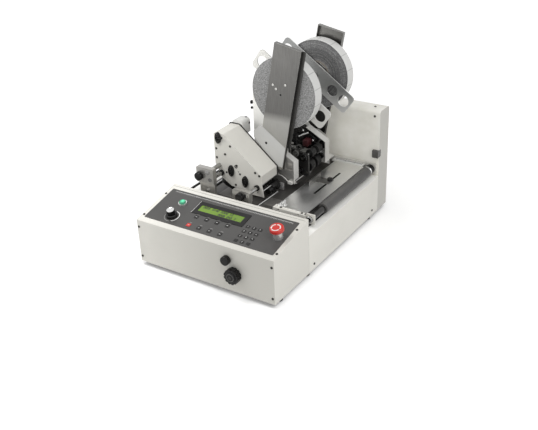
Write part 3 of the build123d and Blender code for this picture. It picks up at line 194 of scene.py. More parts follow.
def addLamp(name, kind, place, back, **settings):
    made = addObject(name, setAll(bpy.data.lights.new(name, kind), **settings))
    made.location = place
    made.rotation_euler = Vector(back).to_track_quat("Z", "Y").to_euler()
    return made


def addLight(values):
    world = bpy.data.worlds.new("studio")
    scene.world = world
    tree = emptyTree(world)
    level = blendValue(tree, maths(tree, "MAXIMUM", *seenBy(tree)), values["skyLevel"], 1.0)
    put(tree, "ShaderNodeOutputWorld", {"Surface": whiteGlow(tree, "ShaderNodeBackground", level)})
    addLamp("sun", "SUN", (0, 0, 0), values["sunFrom"], energy=values["sunLevel"],
            angle=math.radians(values["sunSpread"]))
    for number, (place, aim, size, level) in enumerate(values["boxes"]):
        back = Vector(place) - Vector(aim)
        addLamp(f"softBox{number}", "AREA", place, back, energy=level, size=size).visible_camera = False


# Shared effects of the finishes

def startGroup(name, **inputs):
    tree = bpy.data.node_groups.new(name, "ShaderNodeTree")
    for label, value in inputs.items():
        kind = "NodeSocketVector" if isinstance(value, tuple) else "NodeSocketFloat"
        tree.interface.new_socket(label, in_out="INPUT", socket_type=kind).default_value = value
    return tree, tree.nodes.new("NodeGroupInput").outputs


def endGroup(tree, **values):
    for label in values:
        tree.interface.new_socket(label, in_out="OUTPUT", socket_type="NodeSocketFloat")
    put(tree, "NodeGroupOutput", values)
    return tree


def useGroup(tree, group, **values):
    return put(tree, "ShaderNodeGroup", values, node_tree=group).outputs


# scales of the effects, and the ends between which each runs from none to full
grainLook = {"toneScale": 14.0, "toneEnds": (0.3, 0.7), "grainEnds": (0.25, 0.75), "cellShare": 0.5,
             "speckEnds": (0.22, 0.1)}
wearAndHighlightLook = {"edgeEnds": (0.985, 0.86), "patchEnds": (0.42, 0.68)}
handlingLook = {"smudgeEnds": (0.3, 0.75), "upwardEnds": (0.6, 1.0), "dustEnds": (0.35, 0.75)}
windingLook = {"layersPerMetre": 240.0}


def makeGrainGroup(look):
    # broad tone, fine grain and sparse specks of a finish
    tree, given = startGroup("finishGrain", Scale=900.0, Stretch=(1, 1, 1))
    place = coordinates(tree)
    drawn = vectors(tree, "MULTIPLY", place, given["Stretch"])
    broad = noise(tree, vector=place, scale=look["toneScale"], detail=4.0)
    fine = noise(tree, vector=drawn, scale=given["Scale"], detail=5.0, roughness=0.6)
    cells = put(tree, "ShaderNodeTexVoronoi",
                {"Vector": drawn, "Scale": maths(tree, "MULTIPLY", given["Scale"], look["cellShare"])})
    return endGroup(tree, Tone=spreadOut(tree, broad, *look["toneEnds"]),
                    Grain=spreadOut(tree, fine, *look["grainEnds"]),
                    Specks=spreadOut(tree, cells.outputs["Distance"], *look["speckEnds"]))


def makeWearAndHighlightGroup(look):
    # edges where the finish has rubbed through, and painted highlight on edges that catch the light
    tree, given = startGroup("edgeWearAndHighlight", Width=0.0008, Breakup=160.0)
    rounded = put(tree, "ShaderNodeBevel", {"Radius": given["Width"]}, samples=6).outputs[0]
    flat = tree.nodes.new("ShaderNodeNewGeometry").outputs["Normal"]
    edge = spreadOut(tree, vectors(tree, "DOT_PRODUCT", rounded, flat), *look["edgeEnds"])
    patchy = noise(tree, vector=coordinates(tree), scale=given["Breakup"], detail=5.0, roughness=0.65)
    patches = spreadOut(tree, patchy, *look["patchEnds"])
    return endGroup(tree, Mask=maths(tree, "MULTIPLY", edge, patches))


def makeHandlingGroup(look):
    # smudges from hands and a little settled dust
    tree, given = startGroup("handling", Size=28.0)
    smear = noise(tree, vector=coordinates(tree), scale=given["Size"], detail=6.0, roughness=0.62,
                  distortion=0.6)
    upward = spreadOut(tree, axisOf(tree, coordinates(tree, "Normal"), "Z"), *look["upwardEnds"])
    settled = spreadOut(tree, smear, *look["dustEnds"])
    return endGroup(tree, Smudge=spreadOut(tree, smear, *look["smudgeEnds"]),
                    Dust=maths(tree, "MULTIPLY", upward, settled))


def makeWindingGroup(look):
    # distance and angle round a shaft that runs front to back
    tree, given = startGroup("windingPlace", Centre=(0, 0, 0))
    moved = vectors(tree, "SUBTRACT", coordinates(tree), given["Centre"])
    x, z = axisOf(tree, moved, "X"), axisOf(tree, moved, "Z")
    radius = vectors(tree, "LENGTH", put(tree, "ShaderNodeCombineXYZ", {"X": x, "Z": z}).outputs[0])
    layers = maths(tree, "MULTIPLY", radius, look["layersPerMetre"])
    rings = put(tree, "ShaderNodeTexNoise", {"W": layers, "Scale": 1.0, "Detail": 4.0}, noise_dimensions="1D")
    return endGroup(tree, Radius=radius, Turn=maths(tree, "ARCTAN2", z, x), Rings=rings.outputs[0])


grainGroup = makeGrainGroup(grainLook)
wearAndHighlightGroup = makeWearAndHighlightGroup(wearAndHighlightLook)
handlingGroup = makeHandlingGroup(handlingLook)
windingGroup = makeWindingGroup(windingLook)

# Finishes. like: the finish that a look starts from; on: the nodes that take it; colour: two shades it drifts
# between; streak, speck, dust and the edge marks (rubbed wear, and painted highlight on lit edges): a share and
# a shade; bump: strength and height. The tones are painted light and shade, along an axis, by place or by the
# way a face looks. Zones are painted otherwise, some of them painted light and shade.

paint = {
    "bodyPaint": dict(
        on=("rear_frame_plate", "exit_plate_bracket"), colour=((213, 211, 204), (208, 206, 199)),
        rough=(0.36, 0.46), grain=1400, bump=(0.12, 0.00006), streak=(0.12, (197, 195, 188)),
        # near-white edge marks: painted highlight on the rounded bends
        wearAndHighlight=(0.8, (250, 250, 248)), edgeMarkWidth=0.0018, dust=(0.06, (196, 193, 184)), coat=0.08, coatRough=0.25),
    # cabinet paint: colour lifted above the body paint as painted light on its shaded front; the broad drift is
    # partly random tone and partly painted soft reflections; faces that look right are darkened as painted
    # shade
    "cabinetPaint": dict(
        like="bodyPaint", on=("rear_cabinet", "cabinet_back_panel"), colour=((253, 251, 245), (233, 231, 220)),
        streak=(0.12, (232, 230, 223)), paintedShadeOnSide=(0.6, 0.8, (188, 186, 180))),
    # console paint: darker towards the right and on faces that look right, painted shade
    "consolePaint": dict(
        like="bodyPaint", on=("console_housing",), colour=((223, 221, 214), (218, 216, 209)),
        paintedShadeAcross=(-0.2, 0.03, (203, 201, 194)), paintedShadeOnSide=(0.6, 0.8, (213, 211, 204))),
    # side covers: faces that look up, such as the ledge, are lightened as painted light
    "sidePaint": dict(
        like="bodyPaint", on=("right_side_cover", "left_side_cover"), colour=((226, 224, 217), (221, 219, 212)),
        rimTone=(0.3, 0.5, (250, 249, 245))),
    "feederPaint": dict(like="bodyPaint", on=("feeder_housing",), colour=((204, 202, 195), (199, 197, 190))),
    "coverPaint": dict(like="bodyPaint", on=("feeder_inner_cover",), colour=((206, 206, 203), (200, 200, 197))),
    # apron: darker towards the top, painted shade
    "apronPaint": dict(
        like="bodyPaint", colour=((200, 200, 197), (194, 194, 191)), wearAndHighlight=(0.8, (196, 196, 193)),
        paintedShadeByHeight=(0.24, 0.35, (164, 164, 162))),
    # front channel: darker towards the top and dark on faces that look right, painted shade and reflection; its
    # bright edge marks are painted highlight
    "frontChannelSteel": dict(
        on=("front_channel",), colour=((182, 181, 177), (172, 171, 167)), metal=1, rough=(0.3, 0.42), grain=260,
        stretch=(6, 6, 0.12), streak=(0.5, (150, 149, 146)), bump=(0.1, 0.00004), brushed=0.4,
        wearAndHighlight=(0.8, (236, 235, 231)), edgeMarkWidth=0.0014, paintedShadeByHeight=(0.382, 0.408, (97, 96, 94)),
        paintedShadeOnSide=(0.6, 0.8, (64, 63, 62))),
    # rear channel: darker towards the top and on faces that look right, painted shade; the black zone low on
    # its front is painted shade between the rolls
    "rearChannelSteel": dict(
        like="frontChannelSteel", on=("rear_channel",), colour=((212, 211, 206), (200, 199, 195)),
        paintedShadeByHeight=(0.24, 0.52, (122, 121, 118)), paintedShadeOnSide=(0.6, 0.8, (128, 127, 124)),
        zones=(dict(Y=(0.26, 0.2725), Z=(0.2, 0.42), colour=(30, 29, 28), metal=0.2),)),
    "plateSteel": dict(
        on=("rear_head_plates",), colour=((218, 217, 213), (208, 207, 203)), metal=0.3, rough=(0.36, 0.48),
        grain=420, stretch=(0.3, 4, 4), streak=(0.25, (164, 164, 162)), bump=(0.08, 0.00004),
        wearAndHighlight=(0.6, (228, 227, 222))),
    "headSteel": dict(
        like="plateSteel", on=("front_head_plates",), zones=(
            # the inner plate's front face: light matte paint, lifted further as painted light where it stands
            # in shade
            dict(X=(-0.14, 0.0302), Y=(0.0795, 0.0821), colour=(242, 241, 237), metal=0),
            dict(X=(0.0302, 0.11), Y=(0.0815, 0.0905), colour=(26, 25, 24), metal=0.1),
            dict(X=(-0.1, 0.0302), Y=(0.0821, 0.0905), colour=(26, 25, 24), metal=0.1),
            dict(X=(-0.02, 0.0818), Y=(0.0245, 0.02705), colour=(158, 157, 154), metal=0.8),
            dict(X=(0, 0.0815), Y=(0.0271, 0.0799), Z=(0.186, 0.2115), colour=(58, 56, 54), metal=0.4),
            dict(X=(0.0845, 0.095), Y=(0.0271, 0.0799), Z=(0.186, 0.2115), colour=(58, 56, 54), metal=0.4))),
    "frameSteel": dict(
        on=("front_frame_plate", "base_pan"), colour=((150, 149, 146), (132, 131, 129)), metal=0.9,
        rough=(0.34, 0.5), grain=300, stretch=(0.3, 4, 4), streak=(0.4, (112, 111, 109)), bump=(0.12, 0.00005),
        wearAndHighlight=(0.6, (206, 205, 201))),
    "bracketSteel": dict(
        on=("clamp_brackets",), colour=((178, 176, 171), (166, 164, 160)), metal=0.75, rough=(0.28, 0.34),
        grain=500, stretch=(0.4, 3, 3), streak=(0.25, (164, 162, 157)), bump=(0.05, 0.00002),
        wearAndHighlight=(0.3, (234, 233, 229))),
    "slideSteel": dict(
        like="bracketSteel", on=("slot_guide",), colour=((126, 125, 122), (114, 113, 110)),
        streak=(0.25, (92, 91, 89))),
    "exitSteel": dict(
        on=("exit_plate",), colour=((236, 236, 234), (226, 226, 225)), metal=1, rough=(0.32, 0.36), grain=240,
        stretch=(5, 0.15, 5), streak=(0.35, (186, 186, 186)), bump=(0.02, 0.00002), brushed=0.3,
        wearAndHighlight=(0.6, (240, 240, 238)),
        # black strip along the slot: painted shade in the slot
        zones=(dict(X=(0.1515, 0.1585), Y=(0.019, 0.181), colour=(18, 17, 17), metal=0.1),)),
    "rodSteel": dict(
        on=("cross_shaft", "drive_shaft", "front_spindle", "rear_spindle", "roller_bearings"),
        colour=((186, 186, 184), (170, 170, 169)), metal=1, rough=(0.12, 0.24), grain=500, stretch=(3, 0.3, 3),
        streak=(0.25, (126, 126, 126)), bump=(0.04, 0.00002), wearAndHighlight=(0.4, (228, 228, 226))),
    "guideSteel": dict(
        like="rodSteel", on=("guide_rods",), zones=(dict(X=(-1, -0.19), colour=(40, 39, 38), metal=0.2),)),
    "shaftSteel": dict(
        like="rodSteel", on=("exit_roller_shaft",), zones=(
            dict(Y=(-0.102, -0.034), colour=(38, 37, 36), metal=0.2),
            dict(Y=(0.2572, 0.275), colour=(30, 29, 29), metal=0.1))),
    "darkSteel": dict(
        on=("feeder_back_plate",), colour=((46, 45, 43), (36, 35, 34)), metal=0.3, rough=(0.35, 0.5), grain=700,
        streak=(0.3, (58, 57, 55)), bump=(0.15, 0.00005), wearAndHighlight=(0.5, (120, 118, 114)),
        dust=(0.12, (96, 93, 88))),
    "deckPlate": dict(like="darkSteel", colour=((92, 90, 87), (76, 75, 72)), streak=(0.3, (112, 110, 106))),
    "deckSteel": dict(
        like="darkSteel", on=("transport_deck",), colour=((68, 66, 63), (54, 53, 51)),
        streak=(0.3, (84, 82, 79))),
    # lip colour: dark, painted shade of the channel's side
    "lipSteel": dict(like="darkSteel", colour=((70, 69, 67), (60, 59, 57)), streak=(0.3, (80, 79, 77))),
    "motorPaint": dict(
        like="darkSteel", on=("drive_motor",), colour=((52, 54, 58), (44, 46, 50)), rough=(0.4, 0.55)),
    "blackPlastic": dict(
        on=("hand_wheel", "tension_knob", "left_clamp_knob", "middle_clamp_knob", "slot_thumb_nut",
            "speed_knob", "feeder_bearings", "power_inlet", "power_rocker"),
        colour=((16, 15, 15), (11, 11, 11)), rough=(0.2, 0.34), grain=1800, bump=(0.2, 0.00005),
        streak=(0.2, (26, 25, 24)), ior=1.36, wearAndHighlight=(0.4, (104, 102, 98)), edgeMarkWidth=0.0006,
        dust=(0.02, (80, 78, 75))),
    "latchPlastic": dict(
        like="blackPlastic", on=("corner_latch",), colour=((96, 95, 93), (84, 83, 81)),
        wearAndHighlight=(0.4, (150, 148, 144))),
    "displayBlack": dict(
        like="blackPlastic", on=("display_unit",), colour=((24, 23, 23), (19, 18, 18)), rough=(0.26, 0.38)),
    "rollerRubber": dict(
        on=("exit_roller",), colour=((72, 71, 70), (60, 59, 58)), rough=(0.42, 0.58), grain=900,
        stretch=(1, 0.35, 1), bump=(0.3, 0.00008), streak=(0.3, (92, 91, 89)), dust=(0.2, (150, 148, 143))),
    "darkRubber": dict(
        like="rollerRubber", on=("feed_roller_middle", "feed_roller_low", "transport_roller", "press_rollers",
                                 "fold_roller", "rubber_feet", "drive_belts"),
        colour=((17, 16, 16), (12, 12, 12)), streak=(0.3, (27, 26, 25)), dust=(0.04, (84, 82, 79)), ior=1.36),
    "barWhite": dict(
        on=("front_retaining_bar",), colour=((208, 207, 203), (201, 200, 196)), rough=(0.3, 0.42), grain=1300,
        bump=(0.1, 0.00005), streak=(0.12, (188, 186, 181)), wearAndHighlight=(0.5, (240, 239, 236))),
    # rear bar: light at the low end and darker upward, painted sheen; faces that look up and the edges are
    # lightened, painted highlight
    "barGrey": dict(
        on=("rear_retaining_bar",), colour=((238, 238, 236), (230, 230, 228)), metal=0.6,
        paintedShadeByHeight=(0.372, 0.43, (146, 147, 146)), rimTone=(0.3, 0.5, (252, 252, 250)), rough=(0.32, 0.45),
        grain=420, stretch=(0.4, 4, 4), streak=(0.25, (120, 121, 121)), bump=(0.08, 0.00004),
        wearAndHighlight=(0.9, (236, 236, 234)), edgeMarkWidth=0.0012),
    "overlayFilm": dict(
        on=("control_overlay",), colour=((72, 71, 70), (67, 66, 65)), rough=(0.34, 0.46), grain=2600, ior=1.4,
        bump=(0.3, 0.00004), streak=(0.12, (82, 81, 79)), wearAndHighlight=(0.3, (118, 117, 114)), edgeMarkWidth=0.0004,
        dust=(0.05, (130, 127, 121))),
    "keyFilm": dict(
        like="overlayFilm", colour=((24, 23, 23), (19, 18, 18)), streak=(0.12, (34, 33, 32)),
        rough=(0.28, 0.4)),
    "redPlastic": dict(
        on=("estop_head",), colour=((198, 40, 28), (188, 34, 24)), rough=(0.26, 0.4), grain=1600,
        bump=(0.1, 0.00004), streak=(0.12, (170, 30, 22)), wearAndHighlight=(0.35, (226, 104, 88)), edgeMarkWidth=0.0006,
        coat=0.15),
    "darkRedPlastic": dict(
        like="redPlastic", colour=((70, 22, 26), (56, 17, 20)), streak=(0.12, (44, 14, 17)),
        wearAndHighlight=(0.35, (110, 60, 60)), coat=0, rough=(0.45, 0.6)),
    "collarChrome": dict(
        on=("panel_collars",), colour=((226, 226, 225), (216, 216, 215)), metal=0.7, rough=(0.1, 0.2),
        grain=800, stretch=(1, 1, 5), streak=(0.2, (160, 160, 160)), bump=(0.03, 0.00002)),
    "screwSteel": dict(
        on=("panel_screws",), colour=((70, 69, 66), (58, 57, 55)), metal=0.9, rough=(0.28, 0.42), grain=1200,
        streak=(0.3, (96, 95, 91)), bump=(0.1, 0.00003), wearAndHighlight=(0.6, (150, 148, 143)), edgeMarkWidth=0.0004),
    "carriageScrew": dict(
        like="screwSteel", on=("carriage_screws",), zones=(dict(Z=(0.4, 1), colour=(198, 197, 194), metal=1),)),
    "castAluminium": dict(
        on=("motor_pulley",), colour=((190, 190, 188), (176, 176, 175)), metal=0.9, rough=(0.36, 0.52),
        grain=1100, streak=(0.25, (150, 150, 149)), bump=(0.3, 0.00006), wearAndHighlight=(0.5, (222, 222, 220))),
    "boardGreen": dict(
        on=("control_board",), colour=((28, 84, 52), (24, 74, 46)), rough=(0.3, 0.42), grain=700,
        bump=(0.2, 0.00004), streak=(0.3, (40, 104, 66)), speck=(0.5, (190, 160, 90))),
    "printWhite": dict(
        colour=((226, 226, 223), (216, 216, 213)), rough=(0.4, 0.5), grain=2200, bump=(0.1, 0.00002),
        streak=(0.1, (190, 190, 187))),
    "printGrey": dict(
        like="printWhite", colour=((150, 149, 147), (140, 139, 137)), streak=(0.1, (120, 119, 117))),
    "displayInk": dict(like="printWhite", colour=((30, 44, 14), (26, 39, 12)), streak=(0.1, (38, 54, 18))),
}
# tones of painted light and shade: darker up a part, across it, or on faces that look right; rimTone lightens
# faces that look up, a painted highlight
toneAxes = {"paintedShadeByHeight": ("Object", "Z"), "paintedShadeAcross": ("Object", "X"), "paintedShadeOnSide": ("Normal", "X"),
            "rimTone": ("Normal", "Z")}
shaderValues = {"Metallic": ("metal", 0), "Coat Weight": ("coat", 0), "Coat Roughness": ("coatRough", 0.1),
                "IOR": ("ior", 1.5), "Anisotropic": ("brushed", 0)}
zoneEdge = 0.00001
usualEdgeMarkWidth = 0.0008


def startMaterial(name, look):
    mat = bpy.data.materials.new(name)
    mat.use_nodes = True
    shader = mat.node_tree.nodes["Principled BSDF"]
    for label, (key, usual) in shaderValues.items():
        shader.inputs[label].default_value = look.get(key, usual)
    return mat, mat.node_tree, shader.inputs


def endMaterial(tree, shader, look, colour, smear, height=None):
    ends = {"Base Color": colour, "Roughness": blendValue(tree, smear, *look["rough"])}
    if "bump" in look:
        strength, depth = look["bump"]
        bump = put(tree, "ShaderNodeBump", {"Height": height, "Strength": strength, "Distance": depth})
        ends["Normal"] = bump.outputs[0]
    if "glow" in look:
        ends["Emission Color"] = colour
        shader["Emission Strength"].default_value = look["glow"]
    for label, socket in ends.items():
        tree.links.new(socket, shader[label])


def zoneMask(tree, zone):
    # 1 inside a box given by places along some of the axes
    place = coordinates(tree)
    mask = 1.0
    for axis in "XYZ":
        for end, inside in zip(zone.get(axis, ()), (zoneEdge, -zoneEdge)):
            step = spreadOut(tree, axisOf(tree, place, axis), end, end + inside)
            mask = maths(tree, "MULTIPLY", mask, step)
    return mask


def finishMaterial(name, look):
    mat, tree, shader = startMaterial(name, look)
    grain = useGroup(tree, grainGroup, Scale=look["grain"], Stretch=look.get("stretch", (1, 1, 1)))
    hands = useGroup(tree, handlingGroup)
    colour = blendColour(tree, grain["Tone"], *look["colour"])
    # painted light and shade along the tone axes
    for key, (space, axis) in toneAxes.items():
        if key in look:
            low, high, shade = look[key]
            place = axisOf(tree, coordinates(tree, space), axis)
            colour = blendColour(tree, spreadOut(tree, place, low, high), colour, shade)
    masks = {"streak": grain["Grain"], "speck": grain["Specks"], "dust": hands["Dust"]}
    # edge marks: rubbed wear on some finishes, painted highlight on others
    if "wearAndHighlight" in look:
        masks["wearAndHighlight"] = useGroup(tree, wearAndHighlightGroup, Width=look.get("edgeMarkWidth", usualEdgeMarkWidth))["Mask"]
    for key, mask in masks.items():
        if key in look:
            share, shade = look[key]
            colour = blendColour(tree, maths(tree, "MULTIPLY", mask, share), colour, shade)
    metal = look.get("metal", 0)
    for zone in look.get("zones", ()):
        mask = zoneMask(tree, zone)
        colour = blendColour(tree, mask, colour, zone["colour"])
        metal = blendValue(tree, mask, metal, zone["metal"])
    if "zones" in look:
        tree.links.new(metal, shader["Metallic"])
    endMaterial(tree, shader, look, colour, hands["Smudge"], grain["Grain"])
    return mat


displayLook = {"colour": ((106, 140, 34), (90, 122, 27)), "glow": 0.06, "grain": 420, "smudge": 40,
               "rough": (0.18, 0.3), "coat": 0.15}
lensLook = {"core": (92, 228, 176), "edge": (6, 120, 82), "reach": (0.009, 0.001), "glow": 0.26, "grain": 500,
            "streak": 0.2, "smudge": 120, "rough": (0.16, 0.3), "coat": 0.6, "coatRough": 0.08}


def displayMaterial(look):
    mat, tree, shader = startMaterial("displayWindow", look)
    grain = useGroup(tree, grainGroup, Scale=look["grain"])
    hands = useGroup(tree, handlingGroup, Size=look["smudge"])
    endMaterial(tree, shader, look, blendColour(tree, grain["Tone"], *look["colour"]), hands["Smudge"])
    return mat


def lensMaterial(look):
    # the lit lens is brightest in its middle
    mat, tree, shader = startMaterial("greenLens", look)
    grain = useGroup(tree, grainGroup, Scale=look["grain"])
    low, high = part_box("start_button")
    away = vectors(tree, "SUBTRACT", coordinates(tree), (low + high) / 2)
    reach = vectors(tree, "LENGTH", vectors(tree, "MULTIPLY", away, (1, 1, 0)))
    colour = blendColour(tree, spreadOut(tree, reach, *look["reach"]), look["edge"], look["core"])
    colour = blendColour(tree, maths(tree, "MULTIPLY", grain["Grain"], look["streak"]), colour, look["edge"])
    hands = useGroup(tree, handlingGroup, Size=look["smudge"])
    endMaterial(tree, shader, look, colour, hands["Smudge"])
    return mat


frontRollLook = {
    "grain": 330, "layer": (152, 152, 151), "layerTone": (132, 132, 132), "layerDark": (76, 76, 76),
    "layerLight": (206, 206, 205), "ringEnds": (0.35, 0.65), "grainEnds": (0.35, 0.75), "specks": 0.45,
    "drift": 0.35, "core": 0.0425, "coreEdge": 0.0002, "coreColour": (118, 112, 104), "rim": (208, 208, 206),
    "rimTone": (198, 198, 196), "rimDrift": 0.4, "rimDepth": (0.0007, 0.0005), "tabs": 14, "lines": 0.6,
    "rimLine": (140, 140, 138), "lineEnds": (0.035, 0.012), "rough": (0.5, 0.64), "bump": (0.25, 0.0001),
}
rearRollLook = {
    **frontRollLook, "layer": (148, 148, 148), "layerTone": (92, 92, 92), "layerDark": (72, 72, 72),
    # the dark ring on the rear roll's side is painted shade
    "layerLight": (170, 170, 170), "paintedShadeRing": (0.05, 0.081, 0.5), "paintedShadeRingEdge": 0.003, "paintedShadeRingColour": (50, 50, 50),
    "rim": (222, 222, 220), "rimTone": (212, 212, 210),
}


def rollMaterial(name, node, look):
    # speckled layers on the sides, white paper on the rim with a line where each tab ends
    low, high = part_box(node)
    mat, tree, shader = startMaterial(name, {})
    grain = useGroup(tree, grainGroup, Scale=look["grain"])
    place = useGroup(tree, windingGroup, Centre=(low + high) / 2)
    away = place["Radius"]

    def share(socket, factor):
        return maths(tree, "MULTIPLY", socket, factor)

    rings = spreadOut(tree, place["Rings"], *look["ringEnds"])
    side = blendColour(tree, rings, look["layer"], look["layerTone"])
    side = blendColour(tree, spreadOut(tree, grain["Grain"], *look["grainEnds"]), side, look["layerDark"])
    side = blendColour(tree, share(grain["Specks"], look["specks"]), side, look["layerLight"])
    side = blendColour(tree, share(grain["Tone"], look["drift"]), side, look["layerTone"])
    # a dark ring on the side: painted shade, showing dark through the bar's hole
    if "paintedShadeRing" in look:
        inner, outer, strength = look["paintedShadeRing"]
        edge = look["paintedShadeRingEdge"]
        inPaintedShadeRing = share(spreadOut(tree, away, inner - edge, inner), spreadOut(tree, away, outer, outer - edge))
        side = blendColour(tree, share(inPaintedShadeRing, strength), side, look["paintedShadeRingColour"])
    core = look["core"]
    side = blendColour(tree, spreadOut(tree, away, core + look["coreEdge"], core), side, look["coreColour"])
    turn = maths(tree, "FRACT", share(place["Turn"], look["tabs"] / (2 * math.pi)))
    fromLine = maths(tree, "ABSOLUTE", maths(tree, "SUBTRACT", turn, 0.5))
    line = share(spreadOut(tree, fromLine, *look["lineEnds"]), look["lines"])
    rim = blendColour(tree, line, look["rim"], look["rimLine"])
    rim = blendColour(tree, share(grain["Tone"], look["rimDrift"]), rim, look["rimTone"])
    onRim = spreadOut(tree, away, *[(high.x - low.x) / 2 - depth for depth in look["rimDepth"]])
    height = maths(tree, "ADD", place["Rings"], grain["Grain"])
    endMaterial(tree, shader, look, blendColour(tree, onRim, side, rim), grain["Tone"], height)
    return mat


finishes = {}
for name, look in paint.items():
    finishes[name] = finishMaterial(name, {**paint.get(look.get("like"), {}), **look})
finishes["displayWindow"] = displayMaterial(displayLook)
finishes["greenLens"] = lensMaterial(lensLook)
finishes["frontRoll"] = rollMaterial("frontRoll", "front_tab_roll", frontRollLook)
finishes["rearRoll"] = rollMaterial("rearRoll", "rear_tab_roll", rearRollLook)


def dressNodes():
    worn = {"display_glass": "displayWindow", "start_button": "greenLens", "front_tab_roll": "frontRoll",
            "rear_tab_roll": "rearRoll"}
    worn.update({node: finish for finish, look in paint.items() for node in look.get("on", ())})
    for name, finish in worn.items():
        node = frame["nodes"][name]
        if not node.material_slots:
            node.data.materials.append(finishes[finish])
        for slot in node.material_slots:
            slot.material = finishes[finish]
    print("dressed", len(worn), "nodes, left over:", sorted(set(frame["nodes"]) - set(worn)))


# Mesh helpers, sizes in millimetres

def lathe(mesh, profile, place, segments=48, closed=False):
    # profile: (radius, height) along the place's own z axis
    turns = [2 * math.pi * i / segments for i in range(segments)]
    rings = []
    for radius, height in profile:
        ring = [mesh.verts.new(place @ (Vector((radius * math.cos(a), radius * math.sin(a), height)) * mm))
                for a in (turns if radius else turns[:1])]
        rings.append(ring if radius else ring * segments)
    pairs = list(zip(rings, rings[1:]))
    if closed:
        pairs.append((rings[-1], rings[0]))
    for lower, higher in pairs:
        for i in range(segments):
            j = (i + 1) % segments
            mesh.faces.new(list(dict.fromkeys((lower[i], lower[j], higher[j], higher[i]))))


def bevelEdges(mesh, edges, bevel):
    bmesh.ops.bevel(mesh, geom=edges, offset=bevel * mm, segments=2, profile=0.5, affect="EDGES")


def bevelBox(mesh, low, high, bevel, place=Matrix()):
    made = bmesh.ops.create_cube(mesh, size=1)["verts"]
    for vert in made:
        corner = [low[i] + (vert.co[i] + 0.5) * (high[i] - low[i]) for i in range(3)]
        vert.co = place @ (Vector(corner) * mm)
    bevelEdges(mesh, list({edge for vert in made for edge in vert.link_edges}), bevel)


def prism(mesh, outline, low, high, place=Matrix()):
    bottom = [mesh.verts.new(place @ (Vector((x, y, low)) * mm)) for x, y in outline]
    top = [mesh.verts.new(place @ (Vector((x, y, high)) * mm)) for x, y in outline]
    mesh.faces.new(bottom[::-1])
    mesh.faces.new(top)
    for i in range(len(outline)):
        j = (i + 1) % len(outline)
        mesh.faces.new((bottom[i], bottom[j], top[j], top[i]))


def arcOutline(inner, outer, start, end, steps=24):
    angles = [math.radians(start + (end - start) * i / steps) for i in range(steps + 1)]
    rim = [(outer * math.cos(a), outer * math.sin(a)) for a in angles]
    return rim + [(inner * math.cos(a), inner * math.sin(a)) for a in reversed(angles)]


def roundedOutline(width, height, corner, steps=4):
    points = []
    for x, y, first in ((1, 1, 0), (-1, 1, 90), (-1, -1, 180), (1, -1, 270)):
        for i in range(steps + 1):
            a = math.radians(first + 90 * i / steps)
            points.append((x * (width / 2 - corner) + corner * math.cos(a),
                           y * (height / 2 - corner) + corner * math.sin(a)))
    return points


def addWords(mesh, words, size, depth, place, bold=0):
    curve = setAll(bpy.data.curves.new("words", "FONT"), body=words, size=size * mm, offset=bold * mm,
                   extrude=depth * mm, align_x="CENTER", align_y="CENTER")
    holder = addObject("words", curve)
    takeMesh(mesh, holder, place)
    bpy.data.objects.remove(holder)
    bpy.data.curves.remove(curve)


def takeMesh(mesh, holder, place):
    graph = bpy.context.evaluated_depsgraph_get()
    flat = bpy.data.meshes.new_from_object(holder.evaluated_get(graph), depsgraph=graph)
    flat.transform(place)
    mesh.from_mesh(flat)
    bpy.data.meshes.remove(flat)


creaseAngle = 35.0


def piece(name, mesh, body, finish, slot):
    bmesh.ops.remove_doubles(mesh, verts=mesh.verts, dist=1e-6)
    bmesh.ops.recalc_face_normals(mesh, faces=mesh.faces)
    data = bpy.data.meshes.new(name)
    mesh.to_mesh(data)
    mesh.free()
    data.shade_smooth()
    data.set_sharp_from_angle(angle=math.radians(creaseAngle))
    data.materials.append(finishes[finish])
    made = addObject(name, data)
    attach(made, body)


# Layouts that repeat one template

def startLayout(name, **sizes):
    tree = bpy.data.node_groups.new(name, "GeometryNodeTree")
    for label, kind in {"Template": "Object", "Finish": "Material", **sizes}.items():
        tree.interface.new_socket(label, in_out="INPUT", socket_type="NodeSocket" + kind)
    tree.interface.new_socket("Geometry", in_out="OUTPUT", socket_type="NodeSocketGeometry")
    return tree, tree.nodes.new("NodeGroupInput").outputs


def endLayout(tree, given, points, **turn):
    shape = put(tree, "GeometryNodeObjectInfo", {"Object": given["Template"]}).outputs["Geometry"]
    spread = put(tree, "GeometryNodeInstanceOnPoints", {"Points": points, "Instance": shape, **turn})
    real = put(tree, "GeometryNodeRealizeInstances", {"Geometry": spread.outputs[0]})
    coat = put(tree, "GeometryNodeSetMaterial", {"Geometry": real.outputs[0], "Material": given["Finish"]})
    put(tree, "NodeGroupOutput", {"Geometry": coat.outputs[0]})
    return tree


def makeGridLayout():
    tree, given = startLayout("gridOfPieces", Width="Float", Height="Float", Columns="Int", Rows="Int")
    grid = put(tree, "GeometryNodeMeshGrid", {"Size X": given["Width"], "Size Y": given["Height"],
                                              "Vertices X": given["Columns"], "Vertices Y": given["Rows"]})
    return endLayout(tree, given, grid.outputs["Mesh"])


def makeRingLayout():
    tree, given = startLayout("ringOfPieces", Radius="Float", Count="Int")
    ring = put(tree, "GeometryNodeMeshCircle", {"Vertices": given["Count"], "Radius": given["Radius"]})
    place = tree.nodes.new("GeometryNodeInputPosition").outputs[0]
    angle = maths(tree, "ARCTAN2", axisOf(tree, place, "Y"), axisOf(tree, place, "X"))
    turn = put(tree, "ShaderNodeCombineXYZ", {"Z": angle}).outputs[0]
    return endLayout(tree, given, ring.outputs["Mesh"], Rotation=turn)


gridLayout = makeGridLayout()
ringLayout = makeRingLayout()


